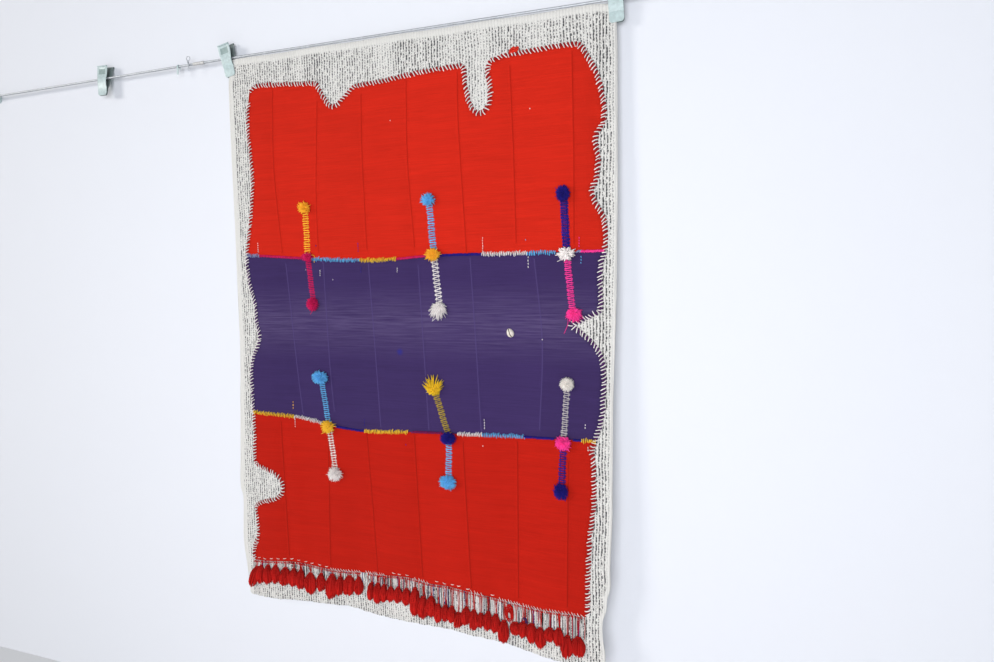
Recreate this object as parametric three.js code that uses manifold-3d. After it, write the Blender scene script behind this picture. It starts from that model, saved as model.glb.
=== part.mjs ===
// Wall hanging: a three-band wool cloth sewn on a speckled flat-woven ground, hung by clips on a taut wire.
// Millimetres, +Z up. The origin is the back centre of the left wall plate, the wall is the plane Y = 0
// and the hanging faces -Y. Tables of the hanging give X from its middle and Z from the wire.
import * as THREE from 'three';
import { mergeVertices } from 'three/addons/utils/BufferGeometryUtils.js';
import Module from 'manifold-3d';

const wasm = await Module();
wasm.setup();

// Driving dimensions
const HANGING_X = 1690;        // middle of the hanging, from the left wall plate
const HANGING_HEIGHT = 1780;
const WIRE_FROM_WALL = 24;
const WIRE_RADIUS = 3.4;
const WIRE_SPAN = 2490;        // from plate to plate
const WIRE_SIDES = 8;
const POST_RADIUS = 6;         // of the wall plates' posts, which the wire's ends meet
const GAP = 0.3;               // between pieces that touch
const BORE_RADIUS = WIRE_RADIUS + 2 * GAP;   // of what is threaded on the wire, measured at its corners
const GROUND_THICKNESS = 2.4;
const BAND_THICKNESS = 1.6;
const SEAM_GAP = 0.4;
const GROUND_FRONT = GROUND_THICKNESS / 2;
const BAND_BACK = GROUND_FRONT + GAP;
const BAND_FRONT = BAND_BACK + BAND_THICKNESS;

const COLOURS = {
  ground: 0xd2d0c8, red: 0xc8261a, deepRed: 0xb01a12, purple: 0x43356a,
  amber: 0xf0a21c, sky: 0x3f98d6, navy: 0x201a78, magenta: 0xa5124f,
  fuchsia: 0xee2f88, white: 0xe6e0d8, ivory: 0xd8d0c2, mustard: 0xe6ae14,
  steel: 0xa3b4b2, darkSteel: 0x4b5254, wire: 0xb4b9bd, shell: 0xf0ebe2,
};
const material = (name, roughness, metalness) => (
  new THREE.MeshStandardMaterial({ color: COLOURS[name], roughness, metalness })
);
const wool = (name) => material(name, 0.95, 0);
const metal = (name) => material(name, 0.4, 0.9);

// Folds: how far the cloth stands forward of the wire's plane
const clamp01 = (v) => Math.min(1, Math.max(0, v));
const ease = (v) => clamp01(v) ** 2 * (3 - 2 * clamp01(v));
const BROAD_FOLD = { crestX: -533, wavelength: 600, top: 0.3, bottom: 11 };
const FINE_FOLD = { wavelength: 235, drift: 0.35, phase: 0.8, bottom: 3.5, growth: 0.8 };
const BILLOW = { fromX: 40, width: 600, depth: 34, growth: 1.5 };     // the lower right swings off the wall
const EDGE_CURL = { fromX: 545, width: 80, depth: 5 };

function relief(x, z) {
  const fall = clamp01(-z / HANGING_HEIGHT);
  const billow = BILLOW.depth * ease((x - BILLOW.fromX) / BILLOW.width) * fall ** BILLOW.growth;
  const broadHeight = BROAD_FOLD.top + (BROAD_FOLD.bottom - BROAD_FOLD.top) * fall;
  const broad = broadHeight * Math.cos((2 * Math.PI * (x - BROAD_FOLD.crestX)) / BROAD_FOLD.wavelength);
  const finePhase = 2 * Math.PI * (x / FINE_FOLD.wavelength + FINE_FOLD.drift * fall) + FINE_FOLD.phase;
  const fine = FINE_FOLD.bottom * fall ** FINE_FOLD.growth * Math.sin(finePhase);
  const curl = EDGE_CURL.depth * ease((Math.abs(x) - EDGE_CURL.fromX) / EDGE_CURL.width) * fall;
  return billow + broad + fine + curl;
}

// Solids
const MERGE_WITHIN = 1e-4;

function toSolid(geometry) {
  const plain = geometry.clone();
  plain.deleteAttribute('normal');
  plain.deleteAttribute('uv');
  const merged = mergeVertices(plain, MERGE_WITHIN);
  return new wasm.Manifold(new wasm.Mesh({
    numProp: 3,
    vertProperties: new Float32Array(merged.attributes.position.array),
    triVerts: new Uint32Array(merged.index.array),
  }));
}

function toGeometry(solid) {
  const mesh = solid.getMesh();
  const geometry = new THREE.BufferGeometry();
  geometry.setAttribute('position', new THREE.BufferAttribute(mesh.vertProperties, mesh.numProp));
  geometry.setIndex(new THREE.BufferAttribute(mesh.triVerts, 1));
  return geometry;
}

function meshFromRings(rings) {
  // Closed skin over rings of equal length, each ring a list of [x, y, z], with flat ends.
  const around = rings[0].length;
  const positions = rings.flat(2);
  const index = [];
  for (let r = 0; r + 1 < rings.length; r += 1) {
    for (let i = 0; i < around; i += 1) {
      const a = r * around + i;
      const b = r * around + ((i + 1) % around);
      index.push(a, b, b + around, a, b + around, a + around);
    }
  }
  const last = (rings.length - 1) * around;
  for (let i = 1; i + 1 < around; i += 1) {
    index.push(0, i + 1, i);
    index.push(last, last + i, last + i + 1);
  }
  const geometry = new THREE.BufferGeometry();
  geometry.setAttribute('position', new THREE.Float32BufferAttribute(positions, 3));
  geometry.setIndex(signedVolume(positions, index) > 0 ? index : index.reverse());
  return geometry;
}

function signedVolume(positions, index) {
  const corner = (n) => new THREE.Vector3().fromArray(positions, 3 * index[n]);
  let volume = 0;
  for (let n = 0; n < index.length; n += 3) volume += corner(n).dot(corner(n + 1).cross(corner(n + 2))) / 6;
  return volume;
}

// The cloth's layers share one lattice, so that layers lie evenly on each other
const LATTICE = { left: -680, right: 680, columns: 26, top: 30, bottom: -1850, rows: 14 };
const stepX = (LATTICE.right - LATTICE.left) / LATTICE.columns;
const stepZ = (LATTICE.top - LATTICE.bottom) / LATTICE.rows;
const latticeX = (i) => LATTICE.left + i * stepX;
const latticeZ = (j) => LATTICE.top - j * stepZ;

function frontOf(x, z, offset) {
  // Y of a point that stands offset in front of the cloth's middle, on the flat facets of the lattice.
  const [across, down] = [(x - LATTICE.left) / stepX, (LATTICE.top - z) / stepZ];
  const [i, j] = [Math.floor(across), Math.floor(down)];
  const [u, v] = [across - i, down - j];
  const height = (di, dj) => relief(latticeX(i + di), latticeZ(j + dj));
  const [a, b, c, d] = [height(0, 0), height(1, 0), height(1, 1), height(0, 1)];
  const lift = v >= u ? a + v * (d - a) + u * (c - d) : a + u * (b - a) + v * (c - b);
  return -(WIRE_FROM_WALL + lift + offset);
}

function layer(back, front) {
  const positions = [];
  for (const offset of [front, back]) {
    for (let j = 0; j <= LATTICE.rows; j += 1) {
      for (let i = 0; i <= LATTICE.columns; i += 1) {
        const [x, z] = [latticeX(i), latticeZ(j)];
        positions.push(x, -(WIRE_FROM_WALL + relief(x, z) + offset), z);
      }
    }
  }
  const wide = LATTICE.columns + 1;
  const sheet = wide * (LATTICE.rows + 1);
  const at = (i, j) => j * wide + i;
  const index = [];
  for (let j = 0; j < LATTICE.rows; j += 1) {
    for (let i = 0; i < LATTICE.columns; i += 1) {
      const [a, b, c, d] = [at(i, j), at(i + 1, j), at(i + 1, j + 1), at(i, j + 1)];
      index.push(a, d, c, a, c, b);
      index.push(sheet + a, sheet + c, sheet + d, sheet + a, sheet + b, sheet + c);
    }
  }
  const rim = [];
  for (let i = 0; i < LATTICE.columns; i += 1) rim.push([at(i, 0), at(i + 1, 0)]);
  for (let j = 0; j < LATTICE.rows; j += 1) rim.push([at(LATTICE.columns, j), at(LATTICE.columns, j + 1)]);
  for (let i = LATTICE.columns; i > 0; i -= 1) rim.push([at(i, LATTICE.rows), at(i - 1, LATTICE.rows)]);
  for (let j = LATTICE.rows; j > 0; j -= 1) rim.push([at(0, j), at(0, j - 1)]);
  for (const [a, b] of rim) index.push(a, b, b + sheet, a, b + sheet, a + sheet);
  const geometry = new THREE.BufferGeometry();
  geometry.setAttribute('position', new THREE.Float32BufferAttribute(positions, 3));
  geometry.setIndex(index);
  return toSolid(geometry);
}

const PRISM_DEPTH = 200;

function prism(outline) {
  // Extrudes an outline of [x, z] points through the whole hanging, from front to back.
  const shape = new THREE.Shape(outline.map(([x, z]) => new THREE.Vector2(x, z)));
  const geometry = new THREE.ExtrudeGeometry(shape, { depth: PRISM_DEPTH, bevelEnabled: false });
  geometry.rotateX(Math.PI / 2);
  return toSolid(geometry);
}

const EDGE_STEP = 34;
const NOTCH_STEP = 15;

function smoothEdge(rows, step = EDGE_STEP) {
  const curve = new THREE.CatmullRomCurve3(rows.map((row) => new THREE.Vector3(row.x, row.z, 0)));
  const count = Math.max(rows.length, Math.round(curve.getLength() / step));
  return curve.getPoints(count).map((point) => [point.x, point.y]);
}
const table = (columns, rows) => rows.map((row) => (
  Object.fromEntries(columns.map((name, i) => [name, row[i]]))
));
const shifted = (points, dz) => points.map(([x, z]) => [x, z + dz]);
const xz = (rows) => table(['x', 'z'], rows);

// Wire: it dips a little at the right clip, which carries half the cloth
const WIRE_START = POST_RADIUS + GAP;
const WIRE_ROWS = table(['x', 'z'], [
  [WIRE_START, 0], [566, 0], [1094, 1], [2313, -6], [WIRE_SPAN - WIRE_START, -5],
]);

function wireHeight(frameX) {
  const next = WIRE_ROWS.findIndex((row) => row.x >= frameX);
  const [a, b] = [WIRE_ROWS[next - 1], WIRE_ROWS[next]];
  return a.z + ((b.z - a.z) * (frameX - a.x)) / (b.x - a.x);
}

// Ground: the speckled flat-woven cloth, with edges as uneven as they hang
const HEM_BELOW_WIRE = 6;
const GROUND_LEFT = xz([
  [-586, -14], [-596, -90], [-599, -252], [-599, -538], [-601, -765], [-602, -930], [-611, -1098],
  [-621, -1269], [-627, -1398], [-619, -1425], [-626, -1581], [-620, -1633], [-612, -1695], [-606, -1758],
]);
const GROUND_BOTTOM = xz([
  [-602, -1764], [-521, -1765], [-354, -1764], [-234, -1761], [-162, -1770], [-35, -1765], [62, -1767],
  [123, -1764], [203, -1772], [298, -1782], [386, -1789], [450, -1793], [525, -1794], [594, -1788],
]);
const GROUND_RIGHT = xz([
  [598, -1780], [601, -1736], [594, -1697], [593, -1645], [603, -1612], [605, -1580], [614, -1548],
  [613, -1497], [618, -1359], [618, -1251], [619, -1035], [626, -771], [628, -512], [627, -258], [626, -109],
  [622, -22],
]);
const HEM_WAVES = { height: 1.2, wavelength: 270 };
const HEM_CORNER = { fromX: 560, width: 60, drop: 5 };
const HEM_INSET = 6;            // from the side edges' first points
const HEM_POINTS = 24;

function groundTop() {
  const points = [];
  const [right, left] = [GROUND_RIGHT.at(-1).x - HEM_INSET, GROUND_LEFT[0].x + HEM_INSET];
  for (let i = 0; i <= HEM_POINTS; i += 1) {
    const x = right + ((left - right) * i) / HEM_POINTS;
    const wave = HEM_WAVES.height * (1 - Math.cos((2 * Math.PI * x) / HEM_WAVES.wavelength));
    const corner = HEM_CORNER.drop * ease((Math.abs(x) - HEM_CORNER.fromX) / HEM_CORNER.width);
    points.push([x, wireHeight(x + HANGING_X) - HEM_BELOW_WIRE - wave - corner]);
  }
  return points;
}

// Bands: shared seams, side edges from the top down, and the two notches cut into the top edge
const UPPER_SEAM = xz([
  [-556, -620], [-358, -635], [-179, -646], [-14, -647], [76, -641], [245, -640], [476, -641], [598, -641],
]);
const LOWER_SEAM = xz([
  [-559, -1134], [-384, -1144], [-274, -1164], [-220, -1171], [-150, -1176], [7, -1165], [110, -1162],
  [245, -1159], [370, -1157], [459, -1154], [573, -1152],
]);
const BAND_TOP = [
  xz([[-517, -111], [-503, -99], [-487, -94], [-401, -100], [-271, -110]]),
  xz([[-263, -130], [-234, -174], [-215, -185], [-192, -172], [-146, -136], [-137, -133]]),
  xz([[-48, -131], [27, -124], [105, -119], [199, -116]]),
  xz([[208, -124], [215, -192], [231, -239], [251, -253], [273, -238], [281, -199], [274, -137], [280, -117]]),
  xz([[332, -104], [396, -104], [459, -101], [529, -101]]),
];
const UPPER_RIGHT = xz([
  [541, -120], [565, -161], [585, -218], [596, -288], [590, -318], [573, -345], [579, -401], [575, -454],
  [563, -481], [570, -511], [590, -546], [599, -583], [598, -638],
]);
const UPPER_LEFT = xz([
  [-523, -150], [-531, -228], [-526, -289], [-522, -390], [-530, -471], [-545, -555], [-556, -617],
]);
const PURPLE_RIGHT = [
  xz([[597, -645], [589, -668], [586, -710], [587, -760], [585, -802]]),
  xz([
    [505, -838], [534, -858], [564, -884], [583, -909], [595, -946], [595, -1018], [591, -1086], [574, -1148],
  ]),
];
const PURPLE_LEFT = xz([
  [-557, -628], [-558, -659], [-549, -723], [-531, -787], [-529, -845], [-520, -880], [-530, -918],
  [-549, -950],
  [-560, -1002], [-561, -1068], [-559, -1130],
]);
const LOWER_RIGHT = xz([
  [572, -1157], [564, -1170], [568, -1202], [571, -1307], [565, -1366], [558, -1426], [555, -1505],
  [553, -1584], [553, -1636],
]);
const LOWER_BOTTOM = xz([
  [545, -1646], [472, -1650], [388, -1655], [300, -1651], [216, -1639], [126, -1630], [66, -1632], [-7, -1622],
  [-155, -1638], [-296, -1643], [-443, -1632], [-575, -1642],
]);
const LOWER_LEFT = [
  xz([[-559, -1140], [-558, -1222], [-562, -1287], [-557, -1312]]),
  xz([[-522, -1322], [-475, -1344], [-457, -1371], [-462, -1402], [-487, -1421], [-539, -1435]]),
  xz([[-568, -1451], [-565, -1488], [-563, -1554], [-582, -1601], [-584, -1636]]),
];
const joined = (edges, steps) => edges.flatMap((rows, i) => smoothEdge(rows, steps[i]));
const upperSeam = smoothEdge(UPPER_SEAM);
const lowerSeam = smoothEdge(LOWER_SEAM);
const backwards = (points) => [...points].reverse();

const OUTLINES = {
  ground: [
    ...smoothEdge(GROUND_LEFT), ...smoothEdge(GROUND_BOTTOM), ...smoothEdge(GROUND_RIGHT), ...groundTop(),
  ],
  upper: [
    ...joined(BAND_TOP, [EDGE_STEP, NOTCH_STEP, EDGE_STEP, NOTCH_STEP, EDGE_STEP]),
    ...smoothEdge(UPPER_RIGHT),
    ...backwards(shifted(upperSeam, SEAM_GAP / 2)),
    ...backwards(smoothEdge(UPPER_LEFT)),
  ],
  purple: [
    ...shifted(upperSeam, -SEAM_GAP / 2),
    ...joined(PURPLE_RIGHT, [EDGE_STEP, EDGE_STEP]),
    ...backwards(shifted(lowerSeam, SEAM_GAP / 2)),
    ...backwards(smoothEdge(PURPLE_LEFT)),
  ],
  lower: [
    ...shifted(lowerSeam, -SEAM_GAP / 2), ...smoothEdge(LOWER_RIGHT), ...smoothEdge(LOWER_BOTTOM),
    ...backwards(joined(LOWER_LEFT, [EDGE_STEP, NOTCH_STEP, EDGE_STEP])),
  ],
};

const groundLayer = layer(-GROUND_FRONT, GROUND_FRONT);
const bandLayer = layer(BAND_BACK, BAND_FRONT);
const ON_BANDS = BAND_FRONT + GAP;
const ABOVE = 80;               // deeper than anything sewn on
const aboveBands = layer(ON_BANDS, ON_BANDS + ABOVE);

// Pompoms: a domed head of cut wool with locks that stand out, away from the bars
const POMPOMS = table(['name', 'colour', 'x', 'z', 'halfWidth', 'halfHeight', 'rise', 'lock', 'bars'], [
  ['a1_top', 'amber', -330, -481, 19, 17, 17, 6, 'below'],
  ['a1_middle', 'magenta', -328, -632, 19, 14, 12, 3, 'both'],
  ['a1_bottom', 'magenta', -314, -779, 21, 22, 17, 4, 'above'],
  ['a2_top', 'sky', 93, -481, 19, 17, 16, 7, 'below'],
  ['a2_middle', 'amber', 104, -637, 22, 19, 17, 5, 'both'],
  ['a2_bottom', 'white', 119, -789, 22, 22, 17, 7, 'above'],
  ['a3_top', 'navy', 486, -486, 20, 22, 20, 4, 'below'],
  ['a3_middle', 'white', 494, -645, 22, 18, 16, 6, 'both'],
  ['a3_bottom', 'fuchsia', 510, -802, 21, 17, 16, 6, 'above'],
  ['b1_top', 'sky', -298, -1010, 29, 22, 18, 5, 'below'],
  ['b1_middle', 'amber', -276, -1166, 23, 21, 18, 6, 'both'],
  ['b1_bottom', 'white', -258, -1317, 25, 24, 19, 5, 'above'],
  ['b2_top', 'mustard', 97, -1034, 26, 23, 17, 13, 'below'],
  ['b2_middle', 'navy', 140, -1173, 26, 20, 20, 4, 'both'],
  ['b2_bottom', 'sky', 136, -1304, 28, 22, 18, 5, 'above'],
  ['b3_top', 'ivory', 495, -998, 20, 20, 17, 3, 'below'],
  ['b3_middle', 'fuchsia', 484, -1161, 23, 21, 19, 6, 'both'],
  ['b3_bottom', 'navy', 477, -1297, 21, 24, 20, 4, 'above'],
]);
const REST = 0.5;               // spare room under a piece that bridges the cloth's facets
const STRAND_REST = 1.6;        // the same under the fringe's long straight strands
const HEAD_RINGS = table(['out', 'up', 'lock'], [
  [0.86, 0, 0], [1, 0.34, 1], [0.82, 0.72, 0.55], [0.36, 1, 0.2],
]);
const LOCKS_AROUND = 8;
const BAR_CLEAR_ANGLE = 0.6;    // half the angle that a bar leaves free of locks
const LOCK_SPREAD = { least: 0.7, extra: 0.6, beat: 2.3 };
const HEAD_ROOM = 2;            // from a head to the end of its bar

function lockReach(row, number) {
  // Locks stand out at every other point around the head, but not where a bar comes in.
  const angle = (number * Math.PI) / LOCKS_AROUND;
  const down = Math.abs(angle - (3 * Math.PI) / 2) < BAR_CLEAR_ANGLE && row.bars !== 'above';
  const up = Math.abs(angle - Math.PI / 2) < BAR_CLEAR_ANGLE && row.bars !== 'below';
  if (number % 2 || down || up) return 0;
  const unevenness = Math.abs(Math.sin(LOCK_SPREAD.beat * number + row.x));
  return row.lock * (LOCK_SPREAD.least + LOCK_SPREAD.extra * unevenness);
}

function pompom(row) {
  return meshFromRings(HEAD_RINGS.map(({ out, up, lock }) => (
    Array.from({ length: LOCKS_AROUND * 2 }, (_, i) => {
      const number = (LOCKS_AROUND * 2 - i) % (LOCKS_AROUND * 2);
      const angle = (number * Math.PI) / LOCKS_AROUND;
      const reach = lockReach(row, number) * lock;
      const x = row.x + Math.cos(angle) * (row.halfWidth * out + reach);
      const z = row.z + Math.sin(angle) * (row.halfHeight * out + reach);
      return [x, frontOf(x, z, ON_BANDS + REST + row.rise * up), z];
    })
  )));
}

function headRoom(row) {
  // The plain form of a head, a little larger, that a bar is cut back to.
  const head = new THREE.IcosahedronGeometry(1, 1);
  head.scale(row.halfWidth + HEAD_ROOM, row.rise * 2, row.halfHeight + HEAD_ROOM);
  head.translate(row.x, frontOf(row.x, row.z, BAND_FRONT), row.z);
  return toSolid(head);
}

// Bars: yarn wrapped like a ladder over laid threads, from pompom to pompom
const BARS = table(['name', 'colour', 'from', 'to', 'width'], [
  ['a1_upper', 'amber', 'a1_top', 'a1_middle', 21],
  ['a1_lower', 'magenta', 'a1_middle', 'a1_bottom', 21],
  ['a2_upper', 'sky', 'a2_top', 'a2_middle', 21],
  ['a2_lower', 'white', 'a2_middle', 'a2_bottom', 22],
  ['a3_upper', 'navy', 'a3_top', 'a3_middle', 21],
  ['a3_lower', 'fuchsia', 'a3_middle', 'a3_bottom', 19],
  ['b1_upper', 'sky', 'b1_top', 'b1_middle', 20],
  ['b1_lower', 'white', 'b1_middle', 'b1_bottom', 20],
  ['b2_upper', 'mustard', 'b2_top', 'b2_middle', 20],
  ['b2_lower', 'sky', 'b2_middle', 'b2_bottom', 20],
  ['b3_upper', 'white', 'b3_top', 'b3_middle', 18],
  ['b3_lower', 'navy', 'b3_middle', 'b3_bottom', 20],
]);
const RUNGS = 8;                // raised turns on a bar
const RUNG_HEIGHT = 4.6;
const RUNG_DIP = 3;
const RUNG_TOP = 0.36;          // half its flat top, as a share of the bar's width

function bar(row) {
  const [start, end] = [row.from, row.to].map((name) => POMPOMS.find((head) => head.name === name));
  const along = new THREE.Vector2(end.x - start.x, end.z - start.z);
  const across = new THREE.Vector2(along.y, -along.x).normalize();
  const rings = [];
  for (let i = 0; i <= RUNGS * 2; i += 1) {
    const share = i / (RUNGS * 2);
    const [x, z] = [start.x + along.x * share, start.z + along.y * share];
    const height = i % 2 ? RUNG_HEIGHT : RUNG_DIP;
    rings.push([[-0.5, REST], [-RUNG_TOP, height], [RUNG_TOP, height], [0.5, REST]].map(([side, rise]) => {
      const [px, pz] = [x + across.x * side * row.width, z + across.y * side * row.width];
      return [px, frontOf(px, pz, ON_BANDS + rise), pz];
    }));
  }
  return toSolid(meshFromRings(rings)).subtract(headRoom(start)).subtract(headRoom(end));
}

// Fringe: tassels of cut wool on thread bundles, which leave a narrow strip under the lower band
const TASSELS = {
  left: table(['topX', 'topZ', 'x', 'z', 'width'], [
    [-572, -1666, -592, -1732, 38], [-552, -1658, -555, -1715, 36], [-523, -1653, -523, -1712, 38],
    [-495, -1651, -493, -1707, 36], [-460, -1656, -461, -1712, 42], [-431, -1659, -431, -1713, 34],
    [-405, -1658, -404, -1721, 34], [-370, -1667, -368, -1732, 46], [-330, -1664, -330, -1717, 36],
    [-288, -1661, -293, -1738, 46], [-259, -1667, -261, -1722, 32], [-227, -1659, -229, -1719, 46],
    [-194, -1660, -192, -1712, 34],
  ]),
  middle: table(['topX', 'topZ', 'x', 'z', 'width'], [
    [-145, -1670, -149, -1721, 28], [-121, -1666, -122, -1726, 34], [-96, -1665, -96, -1715, 30],
    [-69, -1665, -69, -1707, 32], [-41, -1660, -42, -1705, 33], [-13, -1660, -13, -1707, 34],
    [16, -1653, 15, -1737, 36], [43, -1678, 41, -1742, 40], [69, -1673, 68, -1732, 36],
    [93, -1693, 92, -1745, 32], [118, -1692, 117, -1736, 30], [139, -1691, 137, -1737, 28],
    [160, -1707, 158, -1749, 32], [186, -1686, 184, -1735, 34], [209, -1692, 208, -1748, 32],
    [230, -1700, 229, -1737, 30], [252, -1693, 250, -1746, 31], [275, -1698, 272, -1750, 31],
    [300, -1714, 298, -1776, 40],
  ]),
  right: table(['topX', 'topZ', 'x', 'z', 'width'], [
    [337, -1712, 335, -1745, 36], [362, -1703, 358, -1746, 34], [388, -1703, 387, -1754, 38],
    [414, -1708, 413, -1763, 36], [443, -1702, 442, -1736, 38], [469, -1697, 467, -1743, 34],
    [494, -1713, 490, -1773, 38], [525, -1710, 525, -1761, 44],
  ]),
};
const STRIP = { gap: 1.1, height: 7, thickness: 3.8, step: 32, before: 10, after: 12 };
const BUNDLE = { spacing: 2.6, width: 2, thickness: 3.2 };
const TASSEL_RISE = 13;
const STRANDS = [
  { side: -1, share: 0.3, rise: 0.8, reach: 0.95 },
  { side: 0, share: 0.34, rise: 1, reach: 1 },
  { side: 1, share: 0.3, rise: 0.85, reach: 0.92 },
];
const STRAND_SPREAD = 0.35;     // how far a tassel's outer locks stand from its middle, as a share of its width
const WIDEST = 0.62;            // how far down a tassel is at its widest
const BLUNT = 0.6;              // rise at its cut end, as a share of the largest

const bottomEdge = smoothEdge(LOWER_BOTTOM);

function bottomHeight(x) {
  const next = bottomEdge.findIndex((point) => point[0] <= x);
  if (next < 1) return next === 0 ? bottomEdge[0][1] : bottomEdge.at(-1)[1];
  const [a, b] = [bottomEdge[next - 1], bottomEdge[next]];
  return a[1] + ((b[1] - a[1]) * (x - a[0])) / (b[0] - a[0]);
}

function strand(stations) {
  // Three-sided strand with its flat side to the ground cloth: stations of middle x, z, width and rise.
  return toSolid(meshFromRings(stations.map(({ x, z, width, rise }) => (
    [[-0.5, STRAND_REST], [0, rise], [0.5, STRAND_REST]].map(([side, lift]) => {
      const px = x + side * width;
      return [px, frontOf(px, z, BAND_BACK + lift), z];
    })
  ))));
}

function tassel(row) {
  // Three strands leave the strip side by side and widen into the tassel's locks.
  const rootZ = bottomHeight(row.topX) - STRIP.gap - STRIP.height / 2;
  return STRANDS.map(({ side, share, rise, reach }) => {
    const lock = (down, swell) => ({
      x: row.topX + (row.x - row.topX) * down * reach + side * row.width * STRAND_SPREAD,
      z: row.topZ + (row.z - row.topZ) * down * reach,
      width: row.width * share,
      rise: TASSEL_RISE * rise * swell,
    });
    const thread = { x: row.topX + side * BUNDLE.spacing, width: BUNDLE.width, rise: BUNDLE.thickness };
    return strand([{ ...thread, z: rootZ }, { ...thread, z: row.topZ }, lock(WIDEST, 1), lock(1, BLUNT)]);
  });
}

const stripLayer = layer(BAND_BACK, BAND_BACK + STRIP.thickness);

function fringeStrip(first, last) {
  const count = Math.round((last - first) / STRIP.step);
  const top = Array.from({ length: count + 1 }, (_, i) => {
    const x = first + ((last - first) * i) / count;
    return [x, bottomHeight(x) - STRIP.gap];
  });
  return prism([...top, ...backwards(shifted(top, -STRIP.height))]).intersect(stripLayer);
}

function fringe(rows) {
  const strip = fringeStrip(rows[0].topX - STRIP.before, rows.at(-1).topX + STRIP.after);
  return rows.flatMap(tassel).reduce((body, one) => body.add(one), strip);
}

// Small sewn-on things
const COWRIE = {
  x: 331, z: -862, width: 20, height: 26, rise: 11, sunk: 0.25, slit: 2.2, slitDepth: 3, degrees: -26,
};
const TUFT = { x: 352, z: -97, width: 34, height: 15, rise: 8, degrees: -14 };
const KINK = { width: 0.4, rise: 1.1, height: 1.1, across: 0.2, up: 0.35 };   // shares of the tuft's sizes

function cowrie() {
  const shell = new THREE.SphereGeometry(0.5, 16, 10);
  const halfDepth = COWRIE.rise * (1 - COWRIE.sunk);
  shell.scale(COWRIE.width, 2 * halfDepth, COWRIE.height);
  const slit = new THREE.BoxGeometry(COWRIE.slit, COWRIE.slitDepth, COWRIE.height);
  slit.translate(0, -halfDepth, 0);
  const whole = toSolid(shell).subtract(toSolid(slit)).rotate([0, COWRIE.degrees, 0]);
  const lift = frontOf(COWRIE.x, COWRIE.z, BAND_FRONT + COWRIE.rise * COWRIE.sunk);
  return whole.translate([COWRIE.x, lift, COWRIE.z]).intersect(aboveBands);
}

function threadTuft() {
  const lump = new THREE.IcosahedronGeometry(0.5, 1);
  lump.scale(TUFT.width, TUFT.rise * 2, TUFT.height);
  const kink = new THREE.IcosahedronGeometry(0.5, 1);
  kink.scale(TUFT.width * KINK.width, TUFT.rise * 2 * KINK.rise, TUFT.height * KINK.height);
  kink.translate(TUFT.width * KINK.across, 0, TUFT.height * KINK.up);
  const whole = toSolid(lump).add(toSolid(kink)).rotate([0, TUFT.degrees, 0]);
  return whole.translate([TUFT.x, frontOf(TUFT.x, TUFT.z, BAND_FRONT), TUFT.z]).intersect(aboveBands);
}

// Clips: two sprung steel leaves that pinch the cloth, with a coil spring around the wire
const CLIP = {
  width: 38, handleWidth: 44, sheet: 1.2, jawDepth: 55, cornerRadius: 8, waistBottom: -6, waistTop: 14,
};
const BLANK = { top: 60, depth: 80 };         // larger than a leaf, cut to its outline
const SPRING = { inner: 5.4, outer: 7.2, length: 12 };
const JAW = { closed: 0.75, onCloth: 1.9 };   // middle of a leaf at its tip, from the clip's middle plane
const JAW_PAD = 2.2;
const FRONT_HANDLE = { start: 12, out: 8.6, height: 0.84, flare: 0.55 };   // shorter and flatter than at the back
const leafRows = (tip) => table(['up', 'out', 'sheet'], [
  [-55, tip, JAW_PAD], [-45, tip, JAW_PAD], [-38, tip + 1, CLIP.sheet], [-22, 6.4, CLIP.sheet],
  [-6, 8.4, CLIP.sheet], [6, 8.6, CLIP.sheet], [18, 9.4, CLIP.sheet], [42, 11.4, CLIP.sheet],
  [47, 12.8, CLIP.sheet], [48, 14.4, CLIP.sheet],
]);

function shorterHandle(row) {
  const { start, out, height, flare } = FRONT_HANDLE;
  if (row.up <= start) return row;
  return { ...row, up: start + (row.up - start) * height, out: out + (row.out - out) * flare };
}

function drawnAlongX(depth) {
  // Turns a section in X and Y, extruded along Z, into one in Y and Z, extruded along X about its middle.
  return new THREE.Matrix4().set(0, 0, 1, -depth / 2, 1, 0, 0, 0, 0, 1, 0, 0, 0, 0, 0, 1);
}

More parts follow.
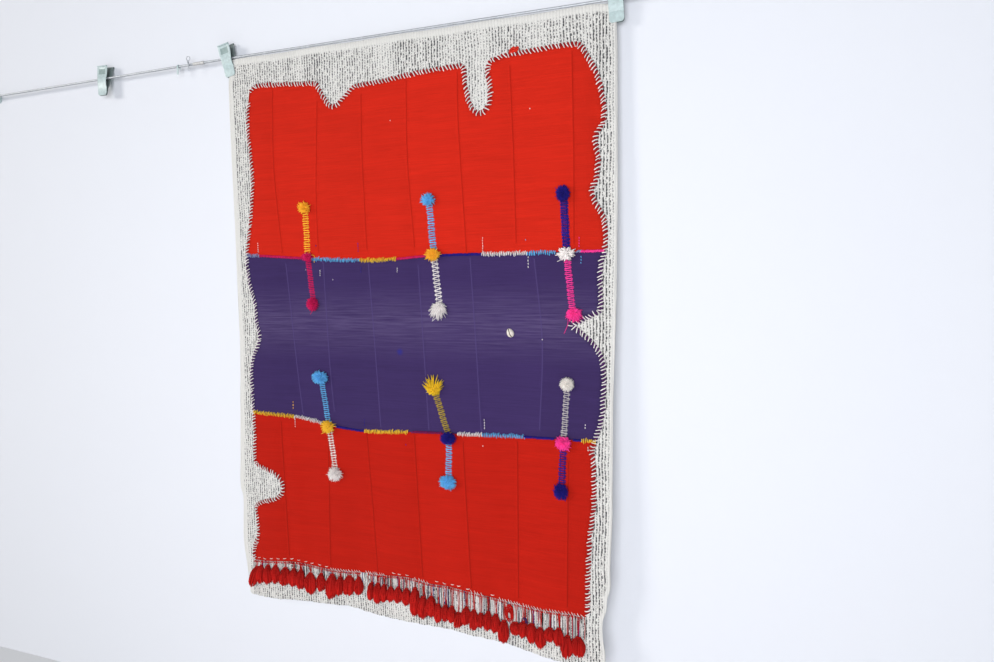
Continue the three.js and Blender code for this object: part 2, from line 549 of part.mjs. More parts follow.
function leaf(facing, tip) {
  // facing is 1 for the leaf nearer the viewer and -1 for the one at the wall.
  const rows = facing > 0 ? leafRows(tip).map(shorterHandle) : leafRows(tip);
  const inner = [];
  const outer = [];
  rows.forEach((row, i) => {
    const [a, b] = [rows[Math.max(0, i - 1)], rows[Math.min(rows.length - 1, i + 1)]];
    const [tangentV, tangentW] = [b.up - a.up, b.out - a.out];
    const length = Math.hypot(tangentV, tangentW);
    const [nv, nw] = [-tangentW / length, tangentV / length];
    const [halfV, halfW] = [(nv * row.sheet) / 2, (nw * row.sheet) / 2];
    inner.push(new THREE.Vector2(-facing * (row.out - halfW), row.up - halfV));
    outer.push(new THREE.Vector2(-facing * (row.out + halfW), row.up + halfV));
  });
  const shape = new THREE.Shape([...inner, ...outer.reverse()]);
  const sheet = new THREE.ExtrudeGeometry(shape, { depth: CLIP.handleWidth, bevelEnabled: false });
  sheet.applyMatrix4(drawnAlongX(CLIP.handleWidth));
  const [jaw, handle, r] = [CLIP.width / 2, CLIP.handleWidth / 2, CLIP.cornerRadius];
  const bottom = -CLIP.jawDepth - JAW_PAD;
  const face = new THREE.Shape();
  face.moveTo(-jaw + r, bottom);
  face.lineTo(jaw - r, bottom);
  face.quadraticCurveTo(jaw, bottom, jaw, bottom + r);
  face.lineTo(jaw, CLIP.waistBottom);
  face.lineTo(handle, CLIP.waistTop);
  face.lineTo(handle, BLANK.top);
  face.lineTo(-handle, BLANK.top);
  face.lineTo(-handle, CLIP.waistTop);
  face.lineTo(-jaw, CLIP.waistBottom);
  face.lineTo(-jaw, bottom + r);
  face.quadraticCurveTo(-jaw, bottom, -jaw + r, bottom);
  const blank = new THREE.ExtrudeGeometry(face, { depth: BLANK.depth, bevelEnabled: false, curveSegments: 4 });
  blank.translate(0, 0, -BLANK.depth / 2);
  blank.rotateX(Math.PI / 2);
  return toSolid(sheet).intersect(toSolid(blank));
}

function sleeve(inner, outer, length, sides) {
  // Tube along X with square ends.
  const profile = [[inner, -0.5], [outer, -0.5], [outer, 0.5], [inner, 0.5], [inner, -0.5]];
  const tube = new THREE.LatheGeometry(profile.map(([r, y]) => new THREE.Vector2(r, y * length)), sides);
  tube.rotateZ(Math.PI / 2);
  return toSolid(tube);
}

// Tilt is in degrees along the wall, swing is about the wire, jaws towards the viewer
const CLIPS = table(['name', 'x', 'tilt', 'swing', 'holds'], [
  ['clip_spare', -1124, -2, 8, false],
  ['clip_left', -596, 10, 0, true],
  ['clip_right', 623, 3, 0, true],
]);
const GUARD = { side: 670, top: 20, bottom: -200 };   // where the clips reach over the cloth
const clothGuard = layer(-GROUND_FRONT - GAP, GROUND_FRONT + GAP).intersect(prism([
  [-GUARD.side, GUARD.top], [-GUARD.side, GUARD.bottom], [GUARD.side, GUARD.bottom], [GUARD.side, GUARD.top],
]));

function clip(row) {
  const tip = row.holds ? JAW.onCloth : JAW.closed + JAW_PAD / 2;
  const slant = Math.tan(THREE.MathUtils.degToRad(Math.abs(row.tilt))) * (SPRING.length / 2);
  const hangs = SPRING.inner - BORE_RADIUS - slant;
  const place = (solid) => solid
    .rotate([-row.swing, -row.tilt, 0])
    .translate([row.x, -WIRE_FROM_WALL, wireHeight(row.x + HANGING_X) - Math.max(0, hangs)]);
  const pieces = {
    front_leaf: place(leaf(1, tip)),
    back_leaf: place(leaf(-1, tip)),
    spring: place(sleeve(SPRING.inner, SPRING.outer, SPRING.length, 12)),
  };
  if (row.holds) {
    pieces.front_leaf = pieces.front_leaf.subtract(clothGuard);
    pieces.back_leaf = pieces.back_leaf.subtract(clothGuard);
  }
  return pieces;
}

// Wire, its splice sleeve, two small hooks and the wall plates
const SPLICE = { x: -712, length: 44, outer: 5.0 };
const STRAP_HOOK = { x: -796, width: 6, sheet: 1.4, legLength: 27, backLeg: 9 };
const LOOP_HOOK = { x: -749, ring: 6.5, wire: 1.5, tail: 19, rise: 18 };
const PLATE = { radius: 18, thickness: 4, postLength: 32 };
const FERRULE = { length: 16, outer: 5.6, fromPost: 1 };

function wireSolid() {
  const turns = Array.from({ length: WIRE_SIDES }, (_, i) => (i * 2 * Math.PI) / WIRE_SIDES);
  return meshFromRings(WIRE_ROWS.map((row) => turns.map((turn) => [
    row.x, -WIRE_FROM_WALL - WIRE_RADIUS * Math.cos(turn), row.z - WIRE_RADIUS * Math.sin(turn),
  ])));
}

function strapHook() {
  // A flat strap bent over the wire, open at the back.
  const { sheet, legLength, backLeg } = STRAP_HOOK;
  const inner = BORE_RADIUS;
  const outer = inner + sheet;
  const section = new THREE.Shape();
  section.moveTo(-outer, -legLength);
  section.lineTo(-outer, 0);
  section.absarc(0, 0, outer, Math.PI, 0, true);
  section.lineTo(outer, -backLeg);
  section.lineTo(inner, -backLeg);
  section.lineTo(inner, 0);
  section.absarc(0, 0, inner, 0, Math.PI, false);
  section.lineTo(-inner, -legLength);
  const extrusion = { depth: STRAP_HOOK.width, bevelEnabled: false, curveSegments: 8 };
  const strap = new THREE.ExtrudeGeometry(section, extrusion);
  strap.applyMatrix4(drawnAlongX(STRAP_HOOK.width));
  return toSolid(strap).translate([STRAP_HOOK.x, -WIRE_FROM_WALL, wireHeight(STRAP_HOOK.x + HANGING_X)]);
}

function loopHook() {
  // A bent wire: a turn around the line, a loop above it and a tail below.
  const { ring, wire, tail, rise } = LOOP_HOOK;
  const grip = sleeve(BORE_RADIUS, BORE_RADIUS + 2 * wire, 4, 10);
  const loop = new THREE.TorusGeometry(ring, wire, 5, 12);
  loop.rotateX(Math.PI / 2);
  loop.translate(0, -BORE_RADIUS - wire, rise);
  const stem = new THREE.CylinderGeometry(wire, wire, rise - ring + tail, 6);
  stem.rotateX(Math.PI / 2);
  stem.translate(0, -BORE_RADIUS - wire, (rise - ring - tail) / 2);
  return grip.add(toSolid(loop)).add(toSolid(stem))
    .translate([LOOP_HOOK.x, -WIRE_FROM_WALL, wireHeight(LOOP_HOOK.x + HANGING_X)]);
}

function wallPlate() {
  const { radius, thickness, postLength } = PLATE;
  const profile = [
    [0, 0], [radius, 0], [radius, thickness - 1], [radius - 1, thickness], [POST_RADIUS, thickness],
    [POST_RADIUS, postLength - 2], [POST_RADIUS - 2, postLength], [0, postLength],
  ];
  const turned = new THREE.LatheGeometry(profile.map(([r, y]) => new THREE.Vector2(r, y)), 18);
  turned.rotateX(Math.PI);
  return toSolid(turned);
}

// Assembly
const group = new THREE.Group();
const hanging = new THREE.Group();
hanging.position.x = HANGING_X;
group.add(hanging);

function addPiece(parent, name, solid, look) {
  const geometry = solid.isBufferGeometry ? solid : toGeometry(solid);
  const piece = new THREE.Mesh(geometry, look);
  piece.name = name;
  parent.add(piece);
  return piece;
}

addPiece(hanging, 'ground_kilim', prism(OUTLINES.ground).intersect(groundLayer), wool('ground'));
addPiece(hanging, 'upper_red_band', prism(OUTLINES.upper).intersect(bandLayer), wool('red'));
addPiece(hanging, 'purple_band', prism(OUTLINES.purple).intersect(bandLayer), wool('purple'));
addPiece(hanging, 'lower_red_band', prism(OUTLINES.lower).intersect(bandLayer), wool('deepRed'));
for (const row of POMPOMS) addPiece(hanging, `pompom_${row.name}`, pompom(row), wool(row.colour));
for (const row of BARS) addPiece(hanging, `bar_${row.name}`, bar(row), wool(row.colour));
for (const [side, rows] of Object.entries(TASSELS)) {
  addPiece(hanging, `tassel_fringe_${side}`, fringe(rows), wool('deepRed'));
}
addPiece(hanging, 'cowrie_shell', cowrie(), material('shell', 0.35, 0));
addPiece(hanging, 'red_thread_tuft', threadTuft(), wool('red'));
for (const row of CLIPS) {
  const pieces = clip(row);
  addPiece(hanging, `${row.name}_front_leaf`, pieces.front_leaf, metal('steel'));
  addPiece(hanging, `${row.name}_back_leaf`, pieces.back_leaf, metal('steel'));
  addPiece(hanging, `${row.name}_spring`, pieces.spring, metal('darkSteel'));
}
const spliceSolid = sleeve(BORE_RADIUS, SPLICE.outer, SPLICE.length, 12)
  .translate([SPLICE.x, -WIRE_FROM_WALL, wireHeight(SPLICE.x + HANGING_X)]);
addPiece(hanging, 'wire_splice_sleeve', spliceSolid, metal('wire'));
addPiece(hanging, 'strap_hook', strapHook(), metal('steel'));
addPiece(hanging, 'loop_hook', loopHook(), metal('steel'));
addPiece(group, 'hanging_wire', wireSolid(), metal('wire'));
const ENDS = table(['side', 'x', 'inward'], [['left', 0, 1], ['right', WIRE_SPAN, -1]]);
for (const end of ENDS) {
  const wireEnd = end.inward > 0 ? WIRE_ROWS[0] : WIRE_ROWS.at(-1);
  const plate = addPiece(group, `wall_plate_${end.side}`, wallPlate(), metal('steel'));
  plate.position.set(end.x, 0, wireEnd.z);
  const ferrule = sleeve(BORE_RADIUS, FERRULE.outer, FERRULE.length, 12);
  const clamp = addPiece(group, `wire_ferrule_${end.side}`, ferrule, metal('darkSteel'));
  const clampX = wireEnd.x + end.inward * (FERRULE.fromPost + FERRULE.length / 2);
  clamp.position.set(clampX, -WIRE_FROM_WALL, wireHeight(clampX));
}

export default group;
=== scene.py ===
import math
from types import SimpleNamespace

import bmesh
import bpy
import numpy as np
from bpy.props import FloatProperty, FloatVectorProperty, PointerProperty
from mathutils import Matrix, Vector
from mathutils.geometry import delaunay_2d_cdt


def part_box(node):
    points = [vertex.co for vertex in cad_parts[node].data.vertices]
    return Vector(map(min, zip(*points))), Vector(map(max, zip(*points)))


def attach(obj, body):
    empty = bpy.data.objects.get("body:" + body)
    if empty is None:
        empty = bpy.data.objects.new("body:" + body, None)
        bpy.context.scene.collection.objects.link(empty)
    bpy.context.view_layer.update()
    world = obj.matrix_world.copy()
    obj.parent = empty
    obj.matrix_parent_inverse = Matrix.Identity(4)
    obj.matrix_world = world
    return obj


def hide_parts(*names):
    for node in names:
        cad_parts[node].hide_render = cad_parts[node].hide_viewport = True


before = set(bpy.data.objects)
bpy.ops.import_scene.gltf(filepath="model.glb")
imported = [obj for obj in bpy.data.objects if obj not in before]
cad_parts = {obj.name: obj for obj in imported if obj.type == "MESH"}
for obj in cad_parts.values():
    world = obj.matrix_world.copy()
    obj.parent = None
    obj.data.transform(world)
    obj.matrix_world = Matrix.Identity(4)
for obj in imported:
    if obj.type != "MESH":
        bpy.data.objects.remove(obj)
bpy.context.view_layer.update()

bl_info = {
    "name": "Textile wall hanging",
    "version": (1, 0, 0),
    "blender": (4, 5, 0),
    "location": "View3D > Sidebar > Hanging",
    "description": "Weaves, sews and hangs a three-band wool wall hanging on its wire",
    "category": "Add Mesh",
}

MM = 0.001
TURN = 2 * math.pi              # a full turn, in radians


def table(columns, rows):
    """A short table: each row's values under the columns' names."""
    return [SimpleNamespace(**dict(zip(columns.split(), row))) for row in rows]


def by_name(columns, rows):
    """A short table, as a dictionary from each row's name."""
    return {row.name: row for row in table(columns, rows)}


def xz(*rows):
    """Rows of X and Z."""
    return np.array(rows, float)


# The wire's place and thickness, taken from the frame
WIRE_LOW, WIRE_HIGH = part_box("hanging_wire")
WIRE_FROM_WALL = -(WIRE_LOW.y + WIRE_HIGH.y) / 2 / MM
WIRE_RADIUS = (WIRE_HIGH.y - WIRE_LOW.y) / 2 / MM
HANGING_X = 1690                # the hanging's middle, along the wall from the left plate
HANGING_HEIGHT = 1780
# How far in front of the ground's middle each face of the cloths lies
GROUND_FRONT = 1.2
BAND_BACK = 1.5
BAND_FRONT = 3.1
SEWN_ON = BAND_FRONT + 0.6      # where sewn-on wool meets the band
SEAM_GAP = 0.4                  # between two bands

# Folds, as in the solids: how far the cloth stands forward of the wire's plane
BROAD_FOLD = SimpleNamespace(crest=-533, wavelength=600, top=0.3, bottom=11)
FINE_FOLD = SimpleNamespace(wavelength=235, drift=0.35, phase=0.8, bottom=3.5, growth=0.8)
BILLOW = SimpleNamespace(start=40, width=600, depth=34, growth=1.5)
EDGE_CURL = SimpleNamespace(start=545, width=80, depth=5)

# Creases, from one end to the other: half width, and how far each stands out or lies in
CREASES = table("x1 z1 x2 z2 half rise", [
    (-520, -214, -60, -208, 9, -1.3),
    (20, -222, 500, -232, 9, -1.1),
    (-530, -338, -180, -332, 10, -1.0),
    (-90, -336, 420, -352, 10, -1.2),
    (-520, -452, 30, -446, 9, -0.9),
    (120, -455, 560, -470, 10, -1.0),
    (-584, -84, -470, -260, 16, 2.2),
    (-540, -78, -380, -150, 13, -1.8),
    (606, -90, 520, -300, 18, 2.4),
    (575, -80, 430, -170, 14, -1.9),
    (575, -300, 606, -560, 15, -2.6),
    (590, -900, 560, -1300, 16, 2.4),
    (-595, -1240, -560, -1640, 15, -2.6),
    (-420, -1230, -390, -1600, 26, 2.2),
    (-60, -1210, -100, -1610, 30, 2.6),
    (260, -1200, 300, -1620, 28, 2.8),
    (430, -760, 380, -1120, 26, -2.0),
    (-40, -690, -20, -1120, 30, -1.8),
    (-480, -700, -470, -1080, 24, 1.8),
    (-500, -1660, 480, -1684, 8, -1.6),
])

# Ground cloth, with edges as uneven as they hang
HEM_BELOW_WIRE = 6
HEM_WAVES = SimpleNamespace(height=1.2, wavelength=270)
HEM_CORNER = SimpleNamespace(start=560, width=60, drop=5)
HEM_INSET = 6
WIRE_ROWS = xz((6.3, 0), (566, 0), (1094, 1), (2313, -6), (2483.7, -5))   # frame X and Z
GROUND_LEFT = xz(
    (-586, -14), (-596, -90), (-599, -252), (-599, -538), (-601, -765), (-602, -930), (-611, -1098),
    (-621, -1269), (-627, -1398), (-619, -1425), (-626, -1581), (-620, -1633), (-612, -1695), (-606, -1758))
GROUND_BOTTOM = xz(
    (-602, -1764), (-521, -1765), (-354, -1764), (-234, -1761), (-162, -1770), (-35, -1765), (62, -1767),
    (123, -1764), (203, -1772), (298, -1782), (386, -1789), (450, -1793), (525, -1794), (594, -1788))
GROUND_RIGHT = xz(
    (598, -1780), (601, -1736), (594, -1697), (593, -1645), (603, -1612), (605, -1580), (614, -1548),
    (613, -1497), (618, -1359), (618, -1251), (619, -1035), (626, -771), (628, -512), (627, -258),
    (626, -109), (622, -22))

# Bands: shared seams, side edges from the top down, and the notches cut into the edges
UPPER_SEAM = xz(
    (-556, -620), (-358, -635), (-179, -646), (-14, -647), (76, -641), (245, -640), (476, -641), (598, -641))
LOWER_SEAM = xz(
    (-559, -1134), (-384, -1144), (-274, -1164), (-220, -1171), (-150, -1176), (7, -1165), (110, -1162),
    (245, -1159), (370, -1157), (459, -1154), (573, -1152))
UPPER_TOP = [
    xz((-517, -111), (-503, -99), (-487, -94), (-401, -100), (-271, -110)),
    xz((-263, -130), (-234, -174), (-215, -185), (-192, -172), (-146, -136), (-137, -133)),
    xz((-48, -131), (27, -124), (105, -119), (199, -116)),
    xz((208, -124), (215, -192), (231, -239), (251, -253), (273, -238), (281, -199), (274, -137),
       (280, -117)),
    xz((332, -104), (396, -104), (459, -101), (529, -101)),
]
UPPER_RIGHT = [xz(
    (541, -120), (565, -161), (585, -218), (596, -288), (590, -318), (573, -345), (579, -401), (575, -454),
    (563, -481), (570, -511), (590, -546), (599, -583), (598, -638))]
UPPER_LEFT = [xz(
    (-523, -150), (-531, -228), (-526, -289), (-522, -390), (-530, -471), (-545, -555), (-556, -617))]
PURPLE_RIGHT = [
    xz((597, -645), (589, -668), (586, -710), (587, -760), (585, -802)),
    xz((505, -838), (534, -858), (564, -884), (583, -909), (595, -946), (595, -1018), (591, -1086),
       (574, -1148)),
]
PURPLE_LEFT = [xz(
    (-557, -628), (-558, -659), (-549, -723), (-531, -787), (-529, -845), (-520, -880), (-530, -918),
    (-549, -950), (-560, -1002), (-561, -1068), (-559, -1130))]
LOWER_RIGHT = [xz(
    (572, -1157), (564, -1170), (568, -1202), (571, -1307), (565, -1366), (558, -1426), (555, -1505),
    (553, -1584), (553, -1636))]
LOWER_BOTTOM = xz(
    (545, -1646), (472, -1650), (388, -1655), (300, -1651), (216, -1639), (126, -1630), (66, -1632),
    (-7, -1622), (-155, -1638), (-296, -1643), (-443, -1632), (-575, -1642))
LOWER_LEFT = [
    xz((-559, -1140), (-558, -1222), (-562, -1287), (-557, -1312)),
    xz((-522, -1322), (-475, -1344), (-457, -1371), (-462, -1402), (-487, -1421), (-539, -1435)),
    xz((-568, -1451), (-565, -1488), (-563, -1554), (-582, -1601), (-584, -1636)),
]

# Joins between a band's narrow loom strips, from the top down
UPPER_JOINS = [
    xz((-430, -120), (-436, -356), (-419, -613)), xz((-272, -172), (-289, -453), (-289, -616)),
    xz((-120, -167), (-123, -342), (-118, -614)), xz((30, -144), (28, -355), (44, -613)),
    xz((187, -142), (187, -267), (205, -631)), xz((340, -140), (347, -379), (351, -609)),
    xz((510, -130), (514, -380), (514, -615)),
]
PURPLE_JOINS = [
    xz((-408, -653), (-383, -1001), (-372, -1127)), xz((-273, -656), (-263, -998), (-255, -1113)),
    xz((-115, -660), (-102, -905), (-90, -1149)), xz((54, -671), (65, -912), (75, -1152)),
    xz((216, -654), (229, -898), (240, -1142)), xz((403, -659), (424, -892), (415, -1130)),
]
LOWER_JOINS = [
    xz((-450, -1162), (-443, -1610)), xz((-281, -1180), (-292, -1627)), xz((-142, -1190), (-118, -1619)),
    xz((28, -1180), (43, -1610)), xz((184, -1188), (202, -1620)), xz((348, -1174), (346, -1630)),
    xz((497, -1218), (493, -1626)),
]

JOIN_ROWS = (-3.4, -1.1, 0.0, 1.1, 3.4)        # rows of points beside each join

# How the cloths rise and dip: at the ground's hem, selvedges and ribs, and over a band's strips
HEM = SimpleNamespace(rise=0.5, height=13, fade=3, groove=16, groove_half=2.5)
SELVEDGE = SimpleNamespace(rise=0.35, middle=7, half=4)
RIBS = SimpleNamespace(rise=0.22, wavelength=21.2, start=15, fade=10)
STRIP = SimpleNamespace(run_up=38, join_half=1.4, join_end=8, gather=0.35, gather_reach=7, dip=0.45,
                        dip_reach=5)

# Pompoms: half sizes, rise, reach of the longest locks, and how the yarn was cut
POMPOMS = by_name("name colour x z half_width half_height rise lock cut", [
    ("a1_top", "amber", -330, -481, 19, 17, 17, 6, "spiky"),
    ("a1_middle", "magenta", -328, -632, 19, 14, 12, 3, "low"),
    ("a1_bottom", "magenta", -314, -779, 21, 22, 17, 4, "dense"),
    ("a2_top", "sky", 93, -481, 19, 17, 16, 7, "spiky"),
    ("a2_middle", "amber", 104, -637, 22, 19, 17, 5, "spiky"),
    ("a2_bottom", "white", 119, -789, 22, 22, 17, 7, "shaggy"),
    ("a3_top", "navy", 486, -486, 20, 22, 20, 4, "dense"),
    ("a3_middle", "white", 494, -645, 22, 18, 16, 6, "ribbon"),
    ("a3_bottom", "fuchsia", 510, -802, 21, 17, 16, 6, "swept"),
    ("b1_top", "sky", -298, -1010, 29, 22, 18, 5, "round"),
    ("b1_middle", "gold", -276, -1166, 23, 21, 18, 6, "spiky"),
    ("b1_bottom", "white", -258, -1317, 25, 24, 19, 5, "round"),
    ("b2_top", "mustard", 97, -1034, 26, 23, 17, 13, "fan"),
    ("b2_middle", "navy", 140, -1173, 26, 20, 20, 4, "dense"),
    ("b2_bottom", "sky", 136, -1304, 28, 22, 18, 5, "round"),
    ("b3_top", "ivory", 495, -998, 20, 20, 17, 3, "dense"),
    ("b3_middle", "fuchsia", 484, -1161, 23, 21, 19, 6, "round"),
    ("b3_bottom", "navy", 477, -1297, 21, 24, 20, 4, "dense"),
])
# How the yarn was cut: locks, their thickness, unevenness, share of long ones, droop and a sideways lean
CUTS = by_name("name locks thick uneven long droop lean_x lean_z", [
    ("dense", 300, 1.05, 0.10, 0.06, 0.05, 0, 0),
    ("round", 240, 1.30, 0.14, 0.12, 0.10, 0, 0),
    ("spiky", 190, 1.25, 0.24, 0.34, 0.05, 0, 0),
    ("shaggy", 210, 1.35, 0.24, 0.26, 0.42, -3, -3),
    ("ribbon", 110, 2.10, 0.18, 0.20, 0.12, 0, 0),
    ("swept", 200, 1.30, 0.20, 0.25, 0.20, 6, -5),
    ("fan", 170, 1.35, 0.20, 0.62, -0.10, -2, 8),
    ("low", 170, 1.20, 0.22, 0.18, 0.05, 2, 0),
])

# A head's locks, and the closed ball inside it, mostly as shares of its half sizes and rise; the locks'
# reach paints shade at the root and light at the tip
LOCK = SimpleNamespace(root=0.22, bulge=0.30, curl=1.6, shape=np.array([0.7, 1.0, 1.15, 1.0, 0.5]),
                       reach=(0.5, 0.9, 1.2, 1.3, 1.3))
HEART = SimpleNamespace(width=0.72, rise=0.62, out=0.1, sunk=1.6)

# Ladder bars: width, rungs' spacing and thickness, and how far neighbouring rungs lean together
BARS = table("name colour start end width spacing thick lean", [
    ("a1_upper", "amber", "a1_top", "a1_middle", 21, 7.0, 1.80, 0.8),
    ("a1_lower", "magenta", "a1_middle", "a1_bottom", 19, 5.6, 1.75, 0.5),
    ("a2_upper", "sky", "a2_top", "a2_middle", 21, 7.0, 1.75, 0.9),
    ("a2_lower", "white", "a2_middle", "a2_bottom", 22, 6.0, 1.4, 2.3),
    ("a3_upper", "navy", "a3_top", "a3_middle", 21, 4.4, 1.80, 0.4),
    ("a3_lower", "fuchsia", "a3_middle", "a3_bottom", 19, 5.6, 1.6, 0.9),
    ("b1_upper", "sky", "b1_top", "b1_middle", 20, 6.4, 1.4, 0.8),
    ("b1_lower", "ivory", "b1_middle", "b1_bottom", 20, 8.0, 1.50, 0.9),
    ("b2_upper", "dull_mustard", "b2_top", "b2_middle", 20, 5.8, 1.55, 1.0),
    ("b2_lower", "sky", "b2_middle", "b2_bottom", 20, 6.8, 1.75, 0.9),
    ("b3_upper", "pale_grey", "b3_top", "b3_middle", 18, 6.2, 1.25, 1.4),
    ("b3_lower", "navy", "b3_middle", "b3_bottom", 20, 6.4, 1.75, 0.9),
])

# A rung from side to side, and the threads laid under the rungs
RUNG = SimpleNamespace(
    shares=np.array([-1, -0.95, -0.7, -0.25, 0.25, 0.7, 0.95, 1]),
    lift=np.array([-1.2, 0.8, 2.4, 3.0, 3.0, 2.4, 0.8, -1.2]),
    taper=np.array([0.7, 0.95, 1, 1, 1, 1, 0.95, 0.7]))
LAID = SimpleNamespace(sides=(-0.62, 0.62), stations=14, lift=0.7, thick=1.25)
BAR_TUCK = 0.55                 # share of a head's half height that a bar goes in under it

# Wool over the band seams, in runs from left to right
SEAM_RUNS = {
    "upper": table("start end colour stitch", [
        (-554, -502, "steel_blue", "upright"), (-502, -344, "magenta", "cord"),
        (-314, -144, "sky", "upright"), (-144, -14, "gold", "upright"), (-14, 82, "magenta", "cord"),
        (123, 251, "navy", "cord"),
        (251, 384, "white", "upright"), (384, 466, "sky", "upright"), (522, 533, "steel_blue", "cord"),
        (533, 597, "fuchsia", "cord"),
    ]),
    "lower": table("start end colour stitch", [
        (-556, -401, "gold", "upright"), (-401, -300, "white", "upright"), (-250, -150, "navy", "cord"),
        (-150, 7, "gold", "upright"), (20, 114, "wine", "cord"), (168, 245, "white", "upright"),
        (245, 370, "sky", "upright"), (370, 459, "navy", "cord"), (512, 535, "navy", "cord"),
        (535, 573, "gold", "upright"),
    ]),
}
SEAM_STITCHES = by_name("name height spacing thick slant uneven", [
    ("upright", 12.4, 5.2, 1.6, 1.6, 1.8), ("cord", 6.6, 3.6, 1.75, 4.6, 0.7)])

# Overcast wool stitches round the bands, and the running stitches along the lower edge
OVERCAST = SimpleNamespace(spacing=10.2, length=17.5, outside=0.42, lean=28, thick=1.5)
CLUSTER = SimpleNamespace(spacing=9.2, length=13.5, outside=0.36, lean=40, thick=0.85)
HAND = SimpleNamespace(place=1.3, lean=9, bow=1.2, lift=0.25, short=0.84, long=1.18)   # how a hand strays
# The turned-in edge's darker yarn is painted shade between the stitches
EDGE_GAP = SimpleNamespace(inside=8.0, outside=5.2, thick=3.0)     # the dark edge between overcast stitches
# The darkening near a sewn edge is painted shade
EDGE_SHADE = 8                  # how far in from a sewn edge the cloth is darker
RUNNING = SimpleNamespace(start=-560, end=540, spacing=25, length=11.5, above=9, thick=1.1)
BOTTOM_CLUSTERS = table("start end", [(-292, -182), (-166, -86), (18, 62), (198, 242), (288, 540)])

# How high each kind of stitch lies, from one end to the other
LIFTS = SimpleNamespace(
    overcast=np.array([-2.9, -0.5, 1.2, 1.9, 1.9, 1.3, -1.0]),
    turned_in=np.array([-2.6, -1.4, -1.0, -1.1, -2.5]),
    running=np.array([-0.8, 1.4, 1.9, 1.4, -0.8]),
    seam=np.array([-0.8, 1.3, 2.4, 2.4, 1.3, -0.8]),
    tacking=np.array([-0.4, 2.0, 2.4, 2.0, -0.4]),
    knot=np.array([-0.4, 2.2, 2.9, 2.0, -0.4]))
TACK_THICK = 1.15

# Small tacking stitches left in the cloth: a short upright run of them from top to bottom
TACKING = table("x top bottom stitches colour", [
    (-508, -583, -615, 5, "white"), (-297, -597, -602, 1, "navy"), (-337, -671, -675, 1, "white"),
    (-286, -674, -695, 3, "white"), (-240, -703, -708, 1, "white"), (-148, -595, -625, 4, "navy"),
    (-141, -668, -686, 3, "navy"), (-15, -673, -688, 3, "white"), (254, -593, -637, 6, "white"),
    (378, -603, -608, 1, "sky"), (385, -650, -685, 4, "white"), (528, -603, -632, 4, "fuchsia"),
    (533, -653, -677, 3, "sky"), (-405, -1092, -1121, 3, "amber"), (-401, -1150, -1180, 4, "white"),
    (-149, -1137, -1162, 3, "navy"), (-1, -1202, -1208, 1, "navy"), (250, -1112, -1144, 4, "white"),
    (245, -1188, -1197, 1, "white"), (544, -1106, -1122, 2, "white"), (552, -1168, -1182, 2, "white"),
    (-25, -246, -250, 1, "white"), (395, -254, -258, 1, "white"), (424, -878, -882, 1, "white"),
])

# Fringe: each tassel's neck and tip, and its width
TASSELS = {
    "left": table("top_x top_z x z width", [
        (-572, -1666, -592, -1732, 38), (-552, -1658, -555, -1715, 36), (-523, -1653, -523, -1712, 38),
        (-495, -1651, -493, -1707, 36), (-460, -1656, -461, -1712, 42), (-431, -1659, -431, -1713, 34),
        (-405, -1658, -404, -1721, 34), (-370, -1667, -368, -1732, 46), (-330, -1664, -330, -1717, 36),
        (-288, -1661, -293, -1738, 46), (-259, -1667, -261, -1722, 32), (-227, -1659, -229, -1719, 46),
        (-194, -1660, -192, -1712, 34),
    ]),
    "middle": table("top_x top_z x z width", [
        (-145, -1670, -149, -1721, 28), (-121, -1666, -122, -1726, 34), (-96, -1665, -96, -1715, 30),
        (-69, -1665, -69, -1707, 32), (-41, -1660, -42, -1705, 33), (-13, -1660, -13, -1707, 34),
        (16, -1653, 15, -1737, 36), (43, -1678, 41, -1742, 40), (69, -1673, 68, -1732, 36),
        (93, -1693, 92, -1745, 32), (118, -1692, 117, -1736, 30), (139, -1691, 137, -1737, 28),
        (160, -1707, 158, -1749, 32), (186, -1686, 184, -1735, 34), (209, -1692, 208, -1748, 32),
        (230, -1700, 229, -1737, 30), (252, -1693, 250, -1746, 31), (275, -1698, 272, -1750, 31),
        (300, -1714, 298, -1776, 40),
    ]),
    "right": table("top_x top_z x z width", [
        (337, -1712, 335, -1745, 36), (362, -1703, 358, -1746, 34), (388, -1703, 387, -1754, 38),
        (414, -1708, 413, -1763, 36), (443, -1702, 442, -1736, 38), (469, -1697, 467, -1743, 34),
        (494, -1713, 490, -1773, 38), (525, -1710, 525, -1761, 44),
    ]),
}
# A tassel's threads from its neck to its tip, the wraps round its neck, and the threads and knots above it
TASSEL = SimpleNamespace(
    rise=15, strands=96, thick=1.25, mean_width=34, heart=0.36, swell_out=0.94,
    shares=np.array([0, 0.18, 0.42, 0.68, 0.88, 1.0]),
    swell=np.array([0.22, 0.60, 0.94, 1.04, 1.0, 0.80]),
    widths=np.array([0.7, 0.95, 1.1, 1.15, 1.0, 0.65]),
    # ends: the threads' reach, painted shade at the neck and painted light at the tip
    ends=np.array([0.0, 0.3, 0.75, 1.15, 1.4, 1.4]))
NECK_WRAP = SimpleNamespace(turns=3, step=2.2, rise=4.6, thick=1.15)
BUNDLE = np.array([-2.6, -0.8, 1.0, 2.6])
KNOT = SimpleNamespace(spacing=5.2, top=-1.6, bottom=-8.0, thick=1.4)
WARP_ENDS = SimpleNamespace(start=-582, end=548, spacing=3.8, thick=0.98, past_neck=16)
WARP_COLOURS = [
    "white", "grey", "pale_grey", "black", "white", "grey", "plum", "pale_grey", "deep_red", "black",
    "white", "grey", "pale_grey", "black", "grey", "navy", "pale_grey", "deep_red", "white",
]

# Heaps of loose thread beside the right tassels
HEAPS = table("colour seed threads x1 x2 z1 z2 rise", [
    ("deep_red", 341, 34, 304, 330, -1664, -1716, 9), ("plum", 342, 16, 354, 374, -1690, -1708, 7)])

